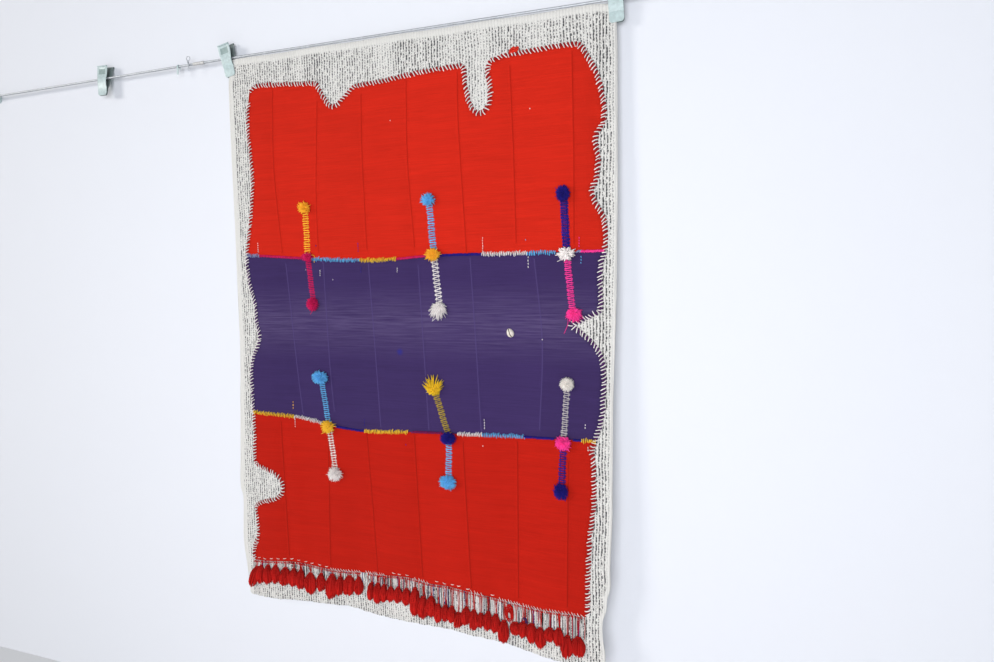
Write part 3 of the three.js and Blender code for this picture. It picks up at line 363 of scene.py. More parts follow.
# Loose ends that hang from pompoms: where each starts and ends, its sideways bow and its yarn
TAILS = table("piece x1 z1 x2 z2 bow thick colour", [
    ("a1_middle", -318, -628, -300, -646, 9, 0.9, "amber"),
    ("a1_bottom", -322, -795, -326, -812, 3, 0.8, "magenta"),
    ("a2_bottom", 112, -800, 98, -832, 5, 0.9, "white"),
    ("a2_bottom", 118, -803, 110, -828, -4, 0.9, "white"),
    ("a3_top", 474, -478, 462, -470, 2, 0.7, "navy"),
    ("a3_middle", 480, -655, 470, -668, 3, 0.8, "white"),
    ("a3_bottom", 496, -812, 490, -862, 4, 0.8, "fuchsia"),
    ("a3_bottom", 520, -806, 540, -818, 3, 0.9, "fuchsia"),
    ("b1_middle", -290, -1176, -303, -1196, 4, 0.9, "gold"),
    ("b2_top", 92, -1016, 76, -1000, -4, 1.0, "mustard"),
    ("b3_bottom", 486, -1312, 490, -1326, 2, 0.8, "navy"),
])

COWRIE = SimpleNamespace(x=331, z=-862, width=20, height=26, rise=11, sunk=0.25, slit=2.2, teeth=34,
                         degrees=-26)
TUFT = SimpleNamespace(x=352, z=-97, width=34, height=15, rise=8, degrees=-14, strands=26, thick=1.2)
BLUE_STAIN = SimpleNamespace(x=-13, z=-923, radius=13, share=0.75, code="#2B2C86")
DUSTY_BAND = SimpleNamespace(z=-835, half=120, share=0.68, code="#675A80")
# The colour inside the slit is painted shade
SHELL_CODES = ("#F6F1E8", "#E2D3BC", "#2C2130")       # white, its warm tint, and inside the slit

# The weave in metres: flecks in cells of upright lines, and the ribs' and threads' pitch
BLACK_FLECKS = SimpleNamespace(cell=(0.0086, 0.0076), half=(0.21, 0.58), sizes=(0.4, 1.3))
GREY_FLECKS = SimpleNamespace(cell=(0.0043, 0.0058), half=(0.30, 0.54), sizes=(0.0, 1.2))
GROUND_PITCH = SimpleNamespace(ribs=0.0086, picks=0.003)
BAND_PITCH = SimpleNamespace(ribs=0.0022, warp=0.0031)
PLY_PITCH = 0.005


def hex_colour(code):
    """An sRGB hex colour as linear red, green and blue."""
    channels = [int(code[i:i + 2], 16) / 255 for i in (1, 3, 5)]
    return tuple(c / 12.92 if c <= 0.04045 else ((c + 0.055) / 1.055) ** 2.4 for c in channels)


# Wool yarns: each one's colour, and the slot that it stands for
YARNS = by_name("name code slot", [
    ("amber", "#FCBC36", "amber_wool"), ("gold", "#F4C63C", "amber_wool"),
    ("sky", "#66B2E4", "sky_wool"), ("steel_blue", "#8F95BC", "sky_wool"),
    ("navy", "#231C80", "navy_wool"), ("plum", "#4A2858", "navy_wool"), ("black", "#2A282B", "navy_wool"),
    ("magenta", "#CE1E5E", "magenta_wool"), ("wine", "#7A1A52", "magenta_wool"),
    ("fuchsia", "#FC439E", "fuchsia_wool"), ("white", "#EAE4E0", "white_wool"),
    ("ivory", "#EEE8E0", "ivory_wool"), ("grey", "#8C8A88", "ivory_wool"),
    ("pale_grey", "#C4BEBC", "ivory_wool"), ("mustard", "#EFC72E", "mustard_wool"),
    ("dull_mustard", "#A98F38", "mustard_wool"), ("deep_red", "#C21A14", "deep_red_wool"),
    # The darker red yarn of the turned-in edges is painted shade
    ("dark_red", "#961A1C", "deep_red_wool"), ("thread_red", "#D8301E", "red_wool"),
])


def ease(v):
    """A soft step from 0 to 1."""
    v = np.clip(v, 0, 1)
    return v * v * (3 - 2 * v)


def relief(x, z):
    """The hanging's folds: how far the cloth's middle stands forward of the wire."""
    fall = np.clip(-z / HANGING_HEIGHT, 0, 1)
    billow = BILLOW.depth * ease((x - BILLOW.start) / BILLOW.width) * fall ** BILLOW.growth
    broad_height = BROAD_FOLD.top + (BROAD_FOLD.bottom - BROAD_FOLD.top) * fall
    broad = broad_height * np.cos(TURN * (x - BROAD_FOLD.crest) / BROAD_FOLD.wavelength)
    fine_phase = TURN * (x / FINE_FOLD.wavelength + FINE_FOLD.drift * fall) + FINE_FOLD.phase
    fine = FINE_FOLD.bottom * fall ** FINE_FOLD.growth * np.sin(fine_phase)
    curl = EDGE_CURL.depth * ease((abs(x) - EDGE_CURL.start) / EDGE_CURL.width) * fall
    return billow + broad + fine + curl


def creases(x, z):
    """The listed creases, each fading out round its line."""
    total = np.zeros(np.shape(x))
    for row in CREASES:
        run, drop = row.x2 - row.x1, row.z2 - row.z1
        share = np.clip(((x - row.x1) * run + (z - row.z1) * drop) / (run * run + drop * drop), 0, 1)
        gap = np.hypot(x - row.x1 - share * run, z - row.z1 - share * drop)
        total = total + row.rise * np.exp(-(gap / row.half) ** 2)
    return total


def on_cloth(x, z, offset):
    """Points at X and Z that stand offset in front of the cloth's middle, in hanging millimetres."""
    x, z, offset = np.broadcast_arrays(np.asarray(x, float), np.asarray(z, float), np.asarray(offset, float))
    return np.stack([x, -(WIRE_FROM_WALL + relief(x, z) + creases(x, z) + offset), z], axis=-1)


def to_frame(points):
    """Hanging millimetres as the frame's metres."""
    return (np.asarray(points, float) + [HANGING_X, 0, 0]) * MM


def wire_height(x):
    """The wire's Z above a place in the hanging."""
    return np.interp(np.asarray(x, float) + HANGING_X, WIRE_ROWS[:, 0], WIRE_ROWS[:, 1])


def curve(rows, steps=8):
    """Points along the centripetal curve through the rows."""
    rows = np.asarray(rows, float)
    ends = [2 * rows[0] - rows[1], *rows, 2 * rows[-1] - rows[-2]]
    points = []
    for p0, p1, p2, p3 in zip(ends, ends[1:], ends[2:], ends[3:]):
        d0, d1, d2 = [math.sqrt(math.dist(a, b)) for a, b in ((p0, p1), (p1, p2), (p2, p3))]
        into = ((p1 - p0) / d0 - (p2 - p0) / (d0 + d1) + (p2 - p1) / d1) * d1
        out = ((p2 - p1) / d1 - (p3 - p1) / (d1 + d2) + (p3 - p2) / d2) * d1
        for t in np.arange(steps) / steps:
            cubic = (2 * p1 - 2 * p2 + into + out) * t ** 3
            points.append(p1 + into * t + (3 * p2 - 3 * p1 - 2 * into - out) * t ** 2 + cubic)
    points.append(rows[-1])
    return np.array(points)


def resample(points, step):
    """The same polyline in even steps, with both of its ends."""
    points = np.asarray(points, float)
    along = np.concatenate([[0], np.cumsum(np.linalg.norm(np.diff(points, axis=0), axis=1))])
    count = max(2, int(round(along[-1] / step)) + 1)
    at = np.linspace(0, along[-1], count)
    return np.column_stack([np.interp(at, along, points[:, k]) for k in range(points.shape[1])])


EDGE_STEP = 8.0                 # between the points of an edge


def smooth(rows, step=EDGE_STEP):
    """The curve through the rows, in even steps."""
    return resample(curve(rows), step)


def edge(parts):
    """One polyline through the curves of an edge, with its corners kept."""
    return np.vstack([smooth(part) for part in parts])


def closed_outline(parts):
    """A counterclockwise outline from polylines that follow each other."""
    points = np.vstack(parts)
    gaps = np.linalg.norm(points - np.roll(points, 1, axis=0), axis=1)
    points = points[gaps > 1.0]
    x, z = points.T
    turning = np.sum(x * np.roll(z, -1) - np.roll(x, -1) * z)
    return points if turning > 0 else points[::-1]


def inside(points, outline):
    """Which points lie inside the outline."""
    x, z = points.T
    result = np.zeros(len(points), bool)
    for (ax, az), (bx, bz) in zip(outline, np.roll(outline, -1, axis=0)):
        crossed = (az > z) != (bz > z)
        if crossed.any():
            result[crossed] ^= x[crossed] < ax + (bx - ax) * (z[crossed] - az) / (bz - az)
    return result


def nearest(points, line):
    """Each point's distance from a polyline, and how far along it the nearest place lies."""
    best = np.full(len(points), np.inf)
    place = np.zeros(len(points))
    start = 0.0
    for a, b in zip(line[:-1], line[1:]):
        step = b - a
        length = float(np.hypot(*step))
        share = np.clip(((points - a) @ step) / length ** 2, 0, 1)
        gap = np.hypot(*(points - a - share[:, None] * step).T)
        closer = gap < best
        best[closer] = gap[closer]
        place[closer] = start + share[closer] * length
        start += length
    return best, place


def sideways(line, reach):
    """The polyline moved sideways by reach."""
    along = np.gradient(line, axis=0)
    along /= np.linalg.norm(along, axis=1, keepdims=True)
    return line + reach * np.column_stack([-along[:, 1], along[:, 0]])


def new_piece(name, points, faces, material):
    """A mesh piece in the frame's metres, from hanging millimetres, riding on the hanging's one body."""
    mesh = bpy.data.meshes.new(name)
    mesh.from_pydata(to_frame(points).tolist(), [], [list(face) for face in faces])
    mesh.polygons.foreach_set("use_smooth", [True] * len(mesh.polygons))
    piece = bpy.data.objects.new(name, mesh)
    bpy.context.scene.collection.objects.link(piece)
    mesh.materials.append(material)
    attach(piece, "root")
    return piece


def point_values(piece, name, values):
    """Stores a value for each of the piece's points, for its material to read."""
    layer = piece.data.attributes.new(name, "FLOAT", "POINT")
    layer.data.foreach_set("value", np.asarray(values, np.float32))


def map_corners(piece, name, places):
    """A UV map with a place for each corner of each face."""
    layer = piece.data.uv_layers.new(name=name)
    layer.data.foreach_set("uv", np.asarray(places, np.float32).ravel())


class Skein:
    """Gathers strands and lumps of yarn, in hanging millimetres, into one piece of closed meshes."""

    def __init__(self, seed):
        self.random = np.random.default_rng(seed)
        self.points, self.faces, self.shade, self.reach, self.corners = [], [], [], [], []
        self.count = 0

    def strands(self, paths, radii, sides=3, shade=None, reach=None):
        """Tubes along paths (strand, station, XYZ), with a radius for each station."""
        paths = np.asarray(paths, float)
        number, stations, _ = paths.shape
        radii = np.broadcast_to(np.asarray(radii, float), (number, stations))
        along = np.gradient(paths, axis=1)
        along /= np.linalg.norm(along, axis=2, keepdims=True) + 1e-9
        lean = np.abs(along.mean(axis=1)[:, 1:2])
        outward = np.where(lean < 0.75, [[0.0, -1.0, 0.0]], [[1.0, 0.0, 0.0]])[:, None, :]
        side = np.cross(along, outward)
        side /= np.linalg.norm(side, axis=2, keepdims=True) + 1e-9
        above = np.cross(side, along)
        turn = TURN * np.arange(sides) / sides
        ring = above[:, :, None] * np.cos(turn)[:, None] + side[:, :, None] * np.sin(turn)[:, None]
        skin = paths[:, :, None] + radii[:, :, None, None] * ring
        base = self.count + np.arange(number)[:, None, None] * stations * sides
        row = base + np.arange(stations - 1)[None, :, None] * sides
        here = np.arange(sides)[None, None, :]
        following = (here + 1) % sides
        quads = [row + here, row + following, row + sides + following, row + sides + here]
        self.faces.extend(np.stack(quads, axis=-1).reshape(-1, 4).tolist())
        length = np.cumsum(np.linalg.norm(np.diff(paths, axis=1), axis=2), axis=1)
        length = np.hstack([np.zeros((number, 1)), length])[..., None] * MM
        low, high, left = np.broadcast_arrays(length[:, :-1], length[:, 1:], here / sides)
        right = left + 1 / sides
        corners = np.stack([left, low, right, low, right, high, left, high], axis=-1)
        self.corners.append(corners.reshape(-1, 2))
        first = (self.count + np.arange(number) * stations * sides)[:, None]
        start_caps = first + np.arange(sides)[::-1]
        end_caps = first + (stations - 1) * sides + np.arange(sides)
        self.faces.extend(start_caps.tolist() + end_caps.tolist())
        self.corners.append(np.zeros((2 * number * sides, 2)))
        self.points.append(skin.reshape(-1, 3))
        shade = self.random.random(number) if shade is None else np.broadcast_to(shade, number)
        # Reach, from a strand's start to its end, is what the yarn material turns into painted shade and
        # light
        reach = np.broadcast_to(np.linspace(0, 1, stations) if reach is None else reach, (number, stations))
        self.shade.append(np.repeat(shade, stations * sides))
        self.reach.append(np.repeat(reach, sides, axis=1).ravel())
        self.count += number * stations * sides

    def lump(self, centre, sizes, unevenness=0.08, reach=0.25, behind=20):
        """A closed uneven ball of yarn with half sizes along X, Y and Z, flat where it meets the cloth."""
        ball = bmesh.new()
        bmesh.ops.create_icosphere(ball, subdivisions=2, radius=1.0)
        points = np.array([vert.co for vert in ball.verts])
        points *= 1 + unevenness * self.random.standard_normal((len(points), 1))
        faces = [[vert.index + self.count for vert in face.verts] for face in ball.faces]
        ball.free()
        points = points * sizes
        points[:, 1] = np.minimum(points[:, 1], behind)
        self.points.append(points + centre)
        self.faces.extend(faces)
        self.corners.append(np.zeros((3 * len(faces), 2)))
        # A low tone and reach, so that the yarn material paints the ball in shade
        self.shade.append(np.full(len(points), 0.3))
        self.reach.append(np.full(len(points), reach))
        self.count += len(points)

    def piece(self, name, yarn, node=None):
        """The finished piece, in the named yarn, in place of the solid node that is named."""
        points = np.vstack(self.points)
        piece = new_piece(name, points, self.faces, yarn_material(yarn))
        map_corners(piece, "yarn", np.vstack(self.corners))
        point_values(piece, "shade", np.concatenate(self.shade))
        point_values(piece, "reach", np.concatenate(self.reach))
        if node:
            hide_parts(node)


def cloth_sheet(name, outline, joins, spacing, thickness, front, material):
    """A closed thin cloth on the hanging's folds: an even net of points, closer along its joins."""
    rim = 0.5 * thickness
    rows = [sideways(smooth(join, spacing), reach) for join in joins for reach in JOIN_ROWS]
    on_joins = np.vstack(rows) if rows else np.zeros((0, 2))
    loop = np.vstack([outline, outline[:1]])
    if len(on_joins):
        clear = nearest(on_joins, loop)[0] > 0.35 * spacing
        on_joins = on_joins[clear & inside(on_joins, outline)]
    low, high = outline.min(axis=0), outline.max(axis=0)
    lanes = np.arange(low[1], high[1], spacing * math.sqrt(0.75))
    across = np.arange(low[0] - spacing, high[0], spacing)
    net = np.vstack([np.column_stack([across + spacing / 2 * (i % 2), np.full(len(across), z)])
                     for i, z in enumerate(lanes)])
    net = net[inside(net, outline)]
    net = net[nearest(net, loop)[0] > 0.6 * spacing]
    for join in joins:
        net = net[nearest(net, smooth(join, spacing))[0] > JOIN_ROWS[-1] + 0.4 * spacing]
    flat = np.vstack([outline, on_joins, net])
    ring = list(range(len(outline)))
    made = delaunay_2d_cdt([Vector(place) for place in flat], [], [ring], 1, 1e-5)
    flat = np.array([tuple(vert) for vert in made[0]])
    faces = [list(face) for face in made[2]]
    new_index = {old: new for new, olds in enumerate(made[3]) for old in olds}
    boundary = [new_index[i] for i in ring]
    travel = np.roll(flat[boundary], -1, axis=0) - np.roll(flat[boundary], 1, axis=0)
    travel /= np.linalg.norm(travel, axis=1, keepdims=True)
    outward = np.column_stack([travel[:, 1], -travel[:, 0]])
    middle = flat[boundary] + rim * outward
    front_offset = front(flat)
    number = len(flat)
    points = np.vstack([
        on_cloth(flat[:, 0], flat[:, 1], front_offset),
        on_cloth(flat[:, 0], flat[:, 1], front_offset - thickness),
        on_cloth(middle[:, 0], middle[:, 1], front_offset[boundary] - thickness / 2),
    ])
    skin = faces + [[number + i for i in reversed(face)] for face in faces]
    count = len(boundary)
    for i in range(count):
        j = (i + 1) % count
        here, following = boundary[i], boundary[j]
        skin.append([following, here, 2 * number + i, 2 * number + j])
        skin.append([2 * number + j, 2 * number + i, number + here, number + following])
    piece = new_piece(name, points, skin, material)
    places = np.vstack([flat, flat, middle])
    map_corners(piece, "cloth", places[[vert for face in skin for vert in face]] * MM)
    return piece, places


def add(tree, kind, inputs=(), **settings):
    """Adds a shader node, named with its operation, and sets or links its sockets, in order or by name."""
    kind, *operation = kind.split()
    node = tree.nodes.new("ShaderNode" + kind)
    if operation:
        node.operation = operation[0]
    for name, value in settings.items():
        setattr(node, name, value)
    for name, value in inputs.items() if isinstance(inputs, dict) else enumerate(inputs):
        if isinstance(value, bpy.types.Node):
            value = value.outputs[0]
        if isinstance(value, bpy.types.NodeSocket):
            tree.links.new(value, node.inputs[name])
        else:
            node.inputs[name].default_value = value
    return node


def new_material(name):
    """An empty node material and its tree."""
    material = bpy.data.materials.new(name)
    material.use_nodes = True
    material.node_tree.nodes.clear()
    return material, material.node_tree


def finish_material(tree, surface, height=None, relief_depth=0.0005, strength=1.0):
    """Puts the surface on the output, with the height as a bump of a real depth in metres."""
    if height is not None:
        bump = add(tree, "Bump", {"Height": height, "Distance": relief_depth, "Strength": strength})
        tree.links.new(bump.outputs[0], surface.inputs["Normal"])
    add(tree, "OutputMaterial", {"Surface": surface})


def rgba(colour):
    """A colour with its alpha."""
    return (*colour[:3], 1.0)


def ripple(tree, place, pitch, wave="SINE"):
    """A wave along a place in metres, with one crest for each pitch."""
    turns = add(tree, "Math MULTIPLY", [place, TURN / pitch])
    return add(tree, "Math " + wave, [turns])


def drawn_noise(tree, place, stretch, detail=2.0, roughness=0.5):
    """Noise drawn out along a direction, by how many of its patches go into a metre each way."""
    drawn = add(tree, "Mapping", {"Vector": place, "Scale": stretch})
    settings = {"Vector": drawn, "Scale": 1.0, "Detail": detail, "Roughness": roughness}
    return add(tree, "TexNoise", settings).outputs["Fac"]


MADE = {}                       # materials that more than one piece shares


def yarn_material(yarn):
    """Cut and sewn wool yarn: matt, with painted shade deep between its strands and painted light at their
    outer ends, a soft sheen and a ply twist.
    """
    key = "yarn_" + yarn
    if key in MADE:
        return MADE[key]
    colour = hex_colour(YARNS[yarn].code)
    material, tree = new_material(yarn + "_wool_yarn")
    shade = add(tree, "Attribute", attribute_name="shade").outputs["Fac"]
    reach = add(tree, "Attribute", attribute_name="reach").outputs["Fac"]
    # Painted shade and light: by a strand's reach, darker deep in a head or tassel and brighter than the
    # yarn's own colour at the outer ends
    painted_light = add(tree, "MapRange", [reach, 0.0, 1.3, 0.6, 1.16])
    tone = add(tree, "MapRange", [shade, 0.0, 1.0, 0.84, 1.16])
    amount = add(tree, "Math MULTIPLY", [painted_light, tone])
    # Fibres: 0.6 mm flecks, lighter and darker
    place = add(tree, "TexCoord").outputs["Object"]
    fibres = add(tree, "TexNoise", {"Vector": place, "Scale": 1600.0, "Detail": 2.0}).outputs["Fac"]
    fleck = add(tree, "MapRange", [fibres, 0.3, 0.7, 0.84, 1.14])
    total = add(tree, "Math MULTIPLY", [amount, fleck])
    mixed = add(tree, "VectorMath SCALE", {0: colour, 3: total})
    # Two plies twisted together, a turn every 5 mm
    yarn_map = add(tree, "UVMap", uv_map="yarn")
    parts = add(tree, "SeparateXYZ", [yarn_map])
    turns = add(tree, "Math MULTIPLY", [parts.outputs["Y"], TURN / PLY_PITCH])
    around = add(tree, "Math MULTIPLY_ADD", [parts.outputs["X"], TURN, turns])
    twist = add(tree, "Math SINE", [around])
    height = add(tree, "Math MULTIPLY_ADD", [fibres, 0.6, twist])
    wool = add(tree, "BsdfPrincipled", {
        "Base Color": mixed, "Roughness": 0.92, "IOR": 1.45, "Specular IOR Level": 0.25,
        "Sheen Weight": 0.4, "Sheen Roughness": 0.45, "Sheen Tint": rgba(colour),
    })
    finish_material(tree, wool, height, 0.00025)
    MADE[key] = material
    return material


def band_material(name, colour, join_colour, stain=False):
    """Flat-woven wool in narrow strips: matt, with weft streaks across, and a line at each strip's join."""
    material, tree = new_material(name)
    cloth_map = add(tree, "UVMap", uv_map="cloth")
    parts = add(tree, "SeparateXYZ", [cloth_map])
    across, down = parts.outputs["X"], parts.outputs["Y"]
    strip = add(tree, "Attribute", attribute_name="strip").outputs["Fac"]
    join = add(tree, "Attribute", attribute_name="join").outputs["Fac"]
    # Weft streaks: 90 mm long and 2.4 mm high, coarser than the 0.9 mm weft so that they show
    shift = add(tree, "Math MULTIPLY", [strip, 31.0])
    place = add(tree, "CombineXYZ", {"X": across, "Y": down, "Z": shift})
    streaks = drawn_noise(tree, place, (11.0, 420.0, 1.0), 3.0, 0.6)
    bars = drawn_noise(tree, place, (4.0, 46.0, 1.0))
    streak_tone = add(tree, "MapRange", [streaks, 0.32, 0.68, 0.92, 1.07])
    bar_tone = add(tree, "MapRange", [bars, 0.3, 0.7, 0.96, 1.04])
    strip_tone = add(tree, "MapRange", [strip, 0.0, 1.0, 0.955, 1.04])
    tone = add(tree, "Math MULTIPLY", [streak_tone, bar_tone])
    tone = add(tree, "Math MULTIPLY", [tone, strip_tone])
    dyed = add(tree, "VectorMath SCALE", {0: colour, 3: tone}).outputs[0]
    if stain:
        # A dusty, sun-faded stretch across the band, and one small blue stain
        from_dust = add(tree, "Math SUBTRACT", [down, DUSTY_BAND.z * MM])
        dust_gap = add(tree, "Math ABSOLUTE", [from_dust])
        dust = add(tree, "MapRange", [dust_gap, 0.0, DUSTY_BAND.half * MM, DUSTY_BAND.share, 0.0])
        patches = drawn_noise(tree, cloth_map, (8.0, 190.0, 1.0), 5.0, 0.6)
        patchy = add(tree, "MapRange", [patches, 0.30, 0.72])
        dust = add(tree, "Math MULTIPLY", [dust, patchy])
        dusty = rgba(hex_colour(DUSTY_BAND.code))
        dyed = add(tree, "Mix", {0: dust, 6: dyed, 7: dusty}, data_type="RGBA").outputs[2]
        centre = (-BLUE_STAIN.x * MM, -BLUE_STAIN.z * MM, 0.0)
        from_stain = add(tree, "VectorMath ADD", [cloth_map, centre])
        stain_gap = add(tree, "VectorMath LENGTH", [from_stain]).outputs["Value"]
        wobble = add(tree, "Math MULTIPLY_ADD", [streaks, 0.008, stain_gap])
        radius = BLUE_STAIN.radius * MM
        spot = add(tree, "MapRange", [wobble, 0.5 * radius, 1.3 * radius, BLUE_STAIN.share, 0.0])
        blue = rgba(hex_colour(BLUE_STAIN.code))
        dyed = add(tree, "Mix", {0: spot, 6: dyed, 7: blue}, data_type="RGBA").outputs[2]
    joined = add(tree, "Mix", {0: join, 6: dyed, 7: rgba(join_colour)}, data_type="RGBA").outputs[2]
    # Painted shade: the cloth is darker near its sewn edges, between the stitches that draw the edge in
    margin = add(tree, "Attribute", attribute_name="margin").outputs["Fac"]
    shaded = add(tree, "MapRange", [margin, 0.0, 1.0, 1.0, 0.42])
    joined = add(tree, "VectorMath SCALE", {0: joined, 3: shaded}).outputs[0]
    # Weft ribs 2.2 mm high over a warp 3.1 mm apart, drawn coarse so that they show
    ribs = ripple(tree, down, BAND_PITCH.ribs)
    warp = ripple(tree, across, BAND_PITCH.warp)
    weave = add(tree, "Math MULTIPLY", [ribs, warp])
    height = add(tree, "Math MULTIPLY_ADD", [streaks, 3.0, weave])
    wool = add(tree, "BsdfPrincipled", {
        "Base Color": joined, "Roughness": 0.94, "IOR": 1.45, "Specular IOR Level": 0.1,
        "Sheen Weight": 0.06, "Sheen Roughness": 0.5, "Sheen Tint": rgba(colour),
    })
    finish_material(tree, wool, height, 0.0003)
    return material


def fleck_lines(tree, places, flecks, strong):
    """How dark flecks make a place: one in each cell of upright lines, of a random size, off its middle."""
    across, down, fuzz = places
    line_place = add(tree, "Math MULTIPLY", [across, 1 / flecks.cell[0]])
    line = add(tree, "Math FLOOR", [line_place])
    stagger = add(tree, "TexWhiteNoise", {"W": line}, noise_dimensions="1D").outputs["Value"]
    row_place = add(tree, "Math MULTIPLY", [down, 1 / flecks.cell[1]])
    row_place = add(tree, "Math MULTIPLY_ADD", [stagger, 9.0, row_place])
    row = add(tree, "Math FLOOR", [row_place])
    cell = add(tree, "CombineXYZ", {"X": line, "Y": row})
    luck = add(tree, "TexWhiteNoise", {"Vector": cell}, noise_dimensions="2D")
    drawn = add(tree, "SeparateColor", [luck.outputs["Color"]])
    offsets = []
    for place, half, channel in zip((line_place, row_place), flecks.half, ("Red", "Green")):
        off = add(tree, "Math FRACT", [place])
        off = add(tree, "Math MULTIPLY_ADD", [drawn.outputs[channel], -0.3, off])
        off = add(tree, "Math SUBTRACT", [off, 0.35])
        offsets.append(add(tree, "Math DIVIDE", [off, half]))
    from_middle = add(tree, "CombineXYZ", {"X": offsets[0], "Y": offsets[1]})
    gap = add(tree, "VectorMath LENGTH", [from_middle]).outputs["Value"]
    size = add(tree, "MapRange", [luck.outputs["Value"], 0.0, 1.0, *flecks.sizes])
    size = add(tree, "Math MULTIPLY", [size, strong])
    gap = add(tree, "Math DIVIDE", [gap, size])
    gap = add(tree, "Math MULTIPLY_ADD", [fuzz, 0.9, gap])
    return add(tree, "MapRange", [gap, 1.1, 1.5, 0.96, 0.0])


def speckled_material():
    """Cream flat-woven wool, matt and dry: black goat-hair flecks in upright lines 8.6 mm apart, ribbed."""
    colours = bpy.context.scene.hanging_colours
    material, tree = new_material("speckled_flatweave")
    cloth_map = add(tree, "UVMap", uv_map="cloth")
    parts = add(tree, "SeparateXYZ", [cloth_map])
    across, down = parts.outputs["X"], parts.outputs["Y"]
    hem = add(tree, "Attribute", attribute_name="hem").outputs["Fac"]
    side = add(tree, "Attribute", attribute_name="side").outputs["Fac"]
    # The warp wanders by a millimetre or two, and its lines come in lighter and darker groups
    wander = add(tree, "TexNoise", {"Vector": cloth_map, "Scale": 7.0, "Detail": 2.0}).outputs["Fac"]
    across = add(tree, "Math MULTIPLY_ADD", [wander, 0.0117, across])
    group = add(tree, "TexNoise", {"W": across, "Scale": 13.0, "Detail": 1.0}, noise_dimensions="1D")
    strong = add(tree, "MapRange", [group.outputs["Fac"], 0.35, 0.65, 0.7, 1.22])
    fuzz = drawn_noise(tree, cloth_map, (900.0, 260.0, 1.0))
    # Black flecks every 7.6 mm in lines 8.6 mm apart, with finer grey ones between them
    black = fleck_lines(tree, (across, down, fuzz), BLACK_FLECKS, strong)
    grey = fleck_lines(tree, (across, down, fuzz), GREY_FLECKS, strong)
    grey = add(tree, "Math MULTIPLY", [grey, 0.45])
    fleck = add(tree, "Math MAXIMUM", [black, grey])
    # The hem at the top and the selvedges at the sides are plain
    off_hem = add(tree, "MapRange", [hem, 15.0, 22.0])
    off_side = add(tree, "MapRange", [side, 14.0, 19.0])
    plain = add(tree, "Math MULTIPLY", [off_hem, off_side])
    fleck = add(tree, "Math MULTIPLY", [fleck, plain])
    thread = add(tree, "MapRange", [fuzz, 0.3, 0.7, 0.88, 1.06])
    cream = add(tree, "VectorMath SCALE", {0: colours.ground, 3: thread})
    hue = add(tree, "Mix", {0: fleck, 6: cream, 7: rgba(colours.speckle)}, data_type="RGBA").outputs[2]
    ribs = ripple(tree, across, GROUND_PITCH.ribs, "COSINE")
    picks = ripple(tree, down, GROUND_PITCH.picks)
    height = add(tree, "Math MULTIPLY_ADD", [picks, 0.5, ribs])
    height = add(tree, "Math MULTIPLY_ADD", [fuzz, 1.6, height])
    wool = add(tree, "BsdfPrincipled", {
        "Base Color": hue, "Roughness": 0.95, "IOR": 1.45, "Specular IOR Level": 0.2,
        "Sheen Weight": 0.12, "Sheen Roughness": 0.5,
    })
    finish_material(tree, wool, height, 0.0005)
    return material


def steel_material(name, code, metallic, roughness, coat=0.0):
    """Steel sheet or wire: faint scratches 5 mm long and 0.4 mm apart, and dull, handled patches of 8 mm."""
    material, tree = new_material(name)
    place = add(tree, "TexCoord").outputs["Object"]
    scratches = drawn_noise(tree, place, (180.0, 2600.0, 2600.0))
    patches = add(tree, "TexNoise", {"Vector": place, "Scale": 130.0, "Detail": 3.0}).outputs["Fac"]
    tone = add(tree, "MapRange", [patches, 0.3, 0.7, 0.84, 1.08])
    colour = add(tree, "VectorMath SCALE", {0: hex_colour(code), 3: tone})
    rough = add(tree, "MapRange", [scratches, 0.3, 0.7, roughness - 0.06, roughness + 0.1])
    steel = add(tree, "BsdfPrincipled", {
        "Base Color": colour, "Metallic": metallic, "Roughness": rough, "Coat Weight": coat,
        "Coat Roughness": 0.3,
    })
    finish_material(tree, steel, scratches, 0.00005, 0.4)
    return material


def shell_material():
    """Cowrie: polished white shell with clouds of a warm tint 6 mm wide, and painted shade in its slit."""
    material, tree = new_material("polished_cowrie_shell")
    depth = add(tree, "Attribute", attribute_name="slit").outputs["Fac"]
    place = add(tree, "TexCoord").outputs["Object"]
    clouds = add(tree, "TexNoise", {"Vector": place, "Scale": 170.0, "Detail": 2.0}).outputs["Fac"]
    white, tint, dark = (rgba(hex_colour(code)) for code in SHELL_CODES)
    base = add(tree, "Mix", {0: clouds, 6: white, 7: tint}, data_type="RGBA").outputs[2]
    # Painted shade down the slit
    hue = add(tree, "Mix", {0: depth, 6: base, 7: dark}, data_type="RGBA").outputs[2]
    shell = add(tree, "BsdfPrincipled", {"Base Color": hue, "Roughness": 0.22, "IOR": 1.55})
    finish_material(tree, shell, clouds, 0.0001)
    return material


def ground_top():
    """The ground's top hem: straight along the wire, a little uneven, and lower at its corners."""
    x = np.arange(GROUND_RIGHT[-1, 0] - HEM_INSET, GROUND_LEFT[0, 0] + HEM_INSET, -EDGE_STEP)
    wave = HEM_WAVES.height * (1 - np.cos(TURN * x / HEM_WAVES.wavelength))
    corner = HEM_CORNER.drop * ease((abs(x) - HEM_CORNER.start) / HEM_CORNER.width)
    return np.column_stack([x, wire_height(x) - HEM_BELOW_WIRE - wave - corner])


def moved(line, dz):
    """The polyline moved up by dz."""
    return line + [0, dz]


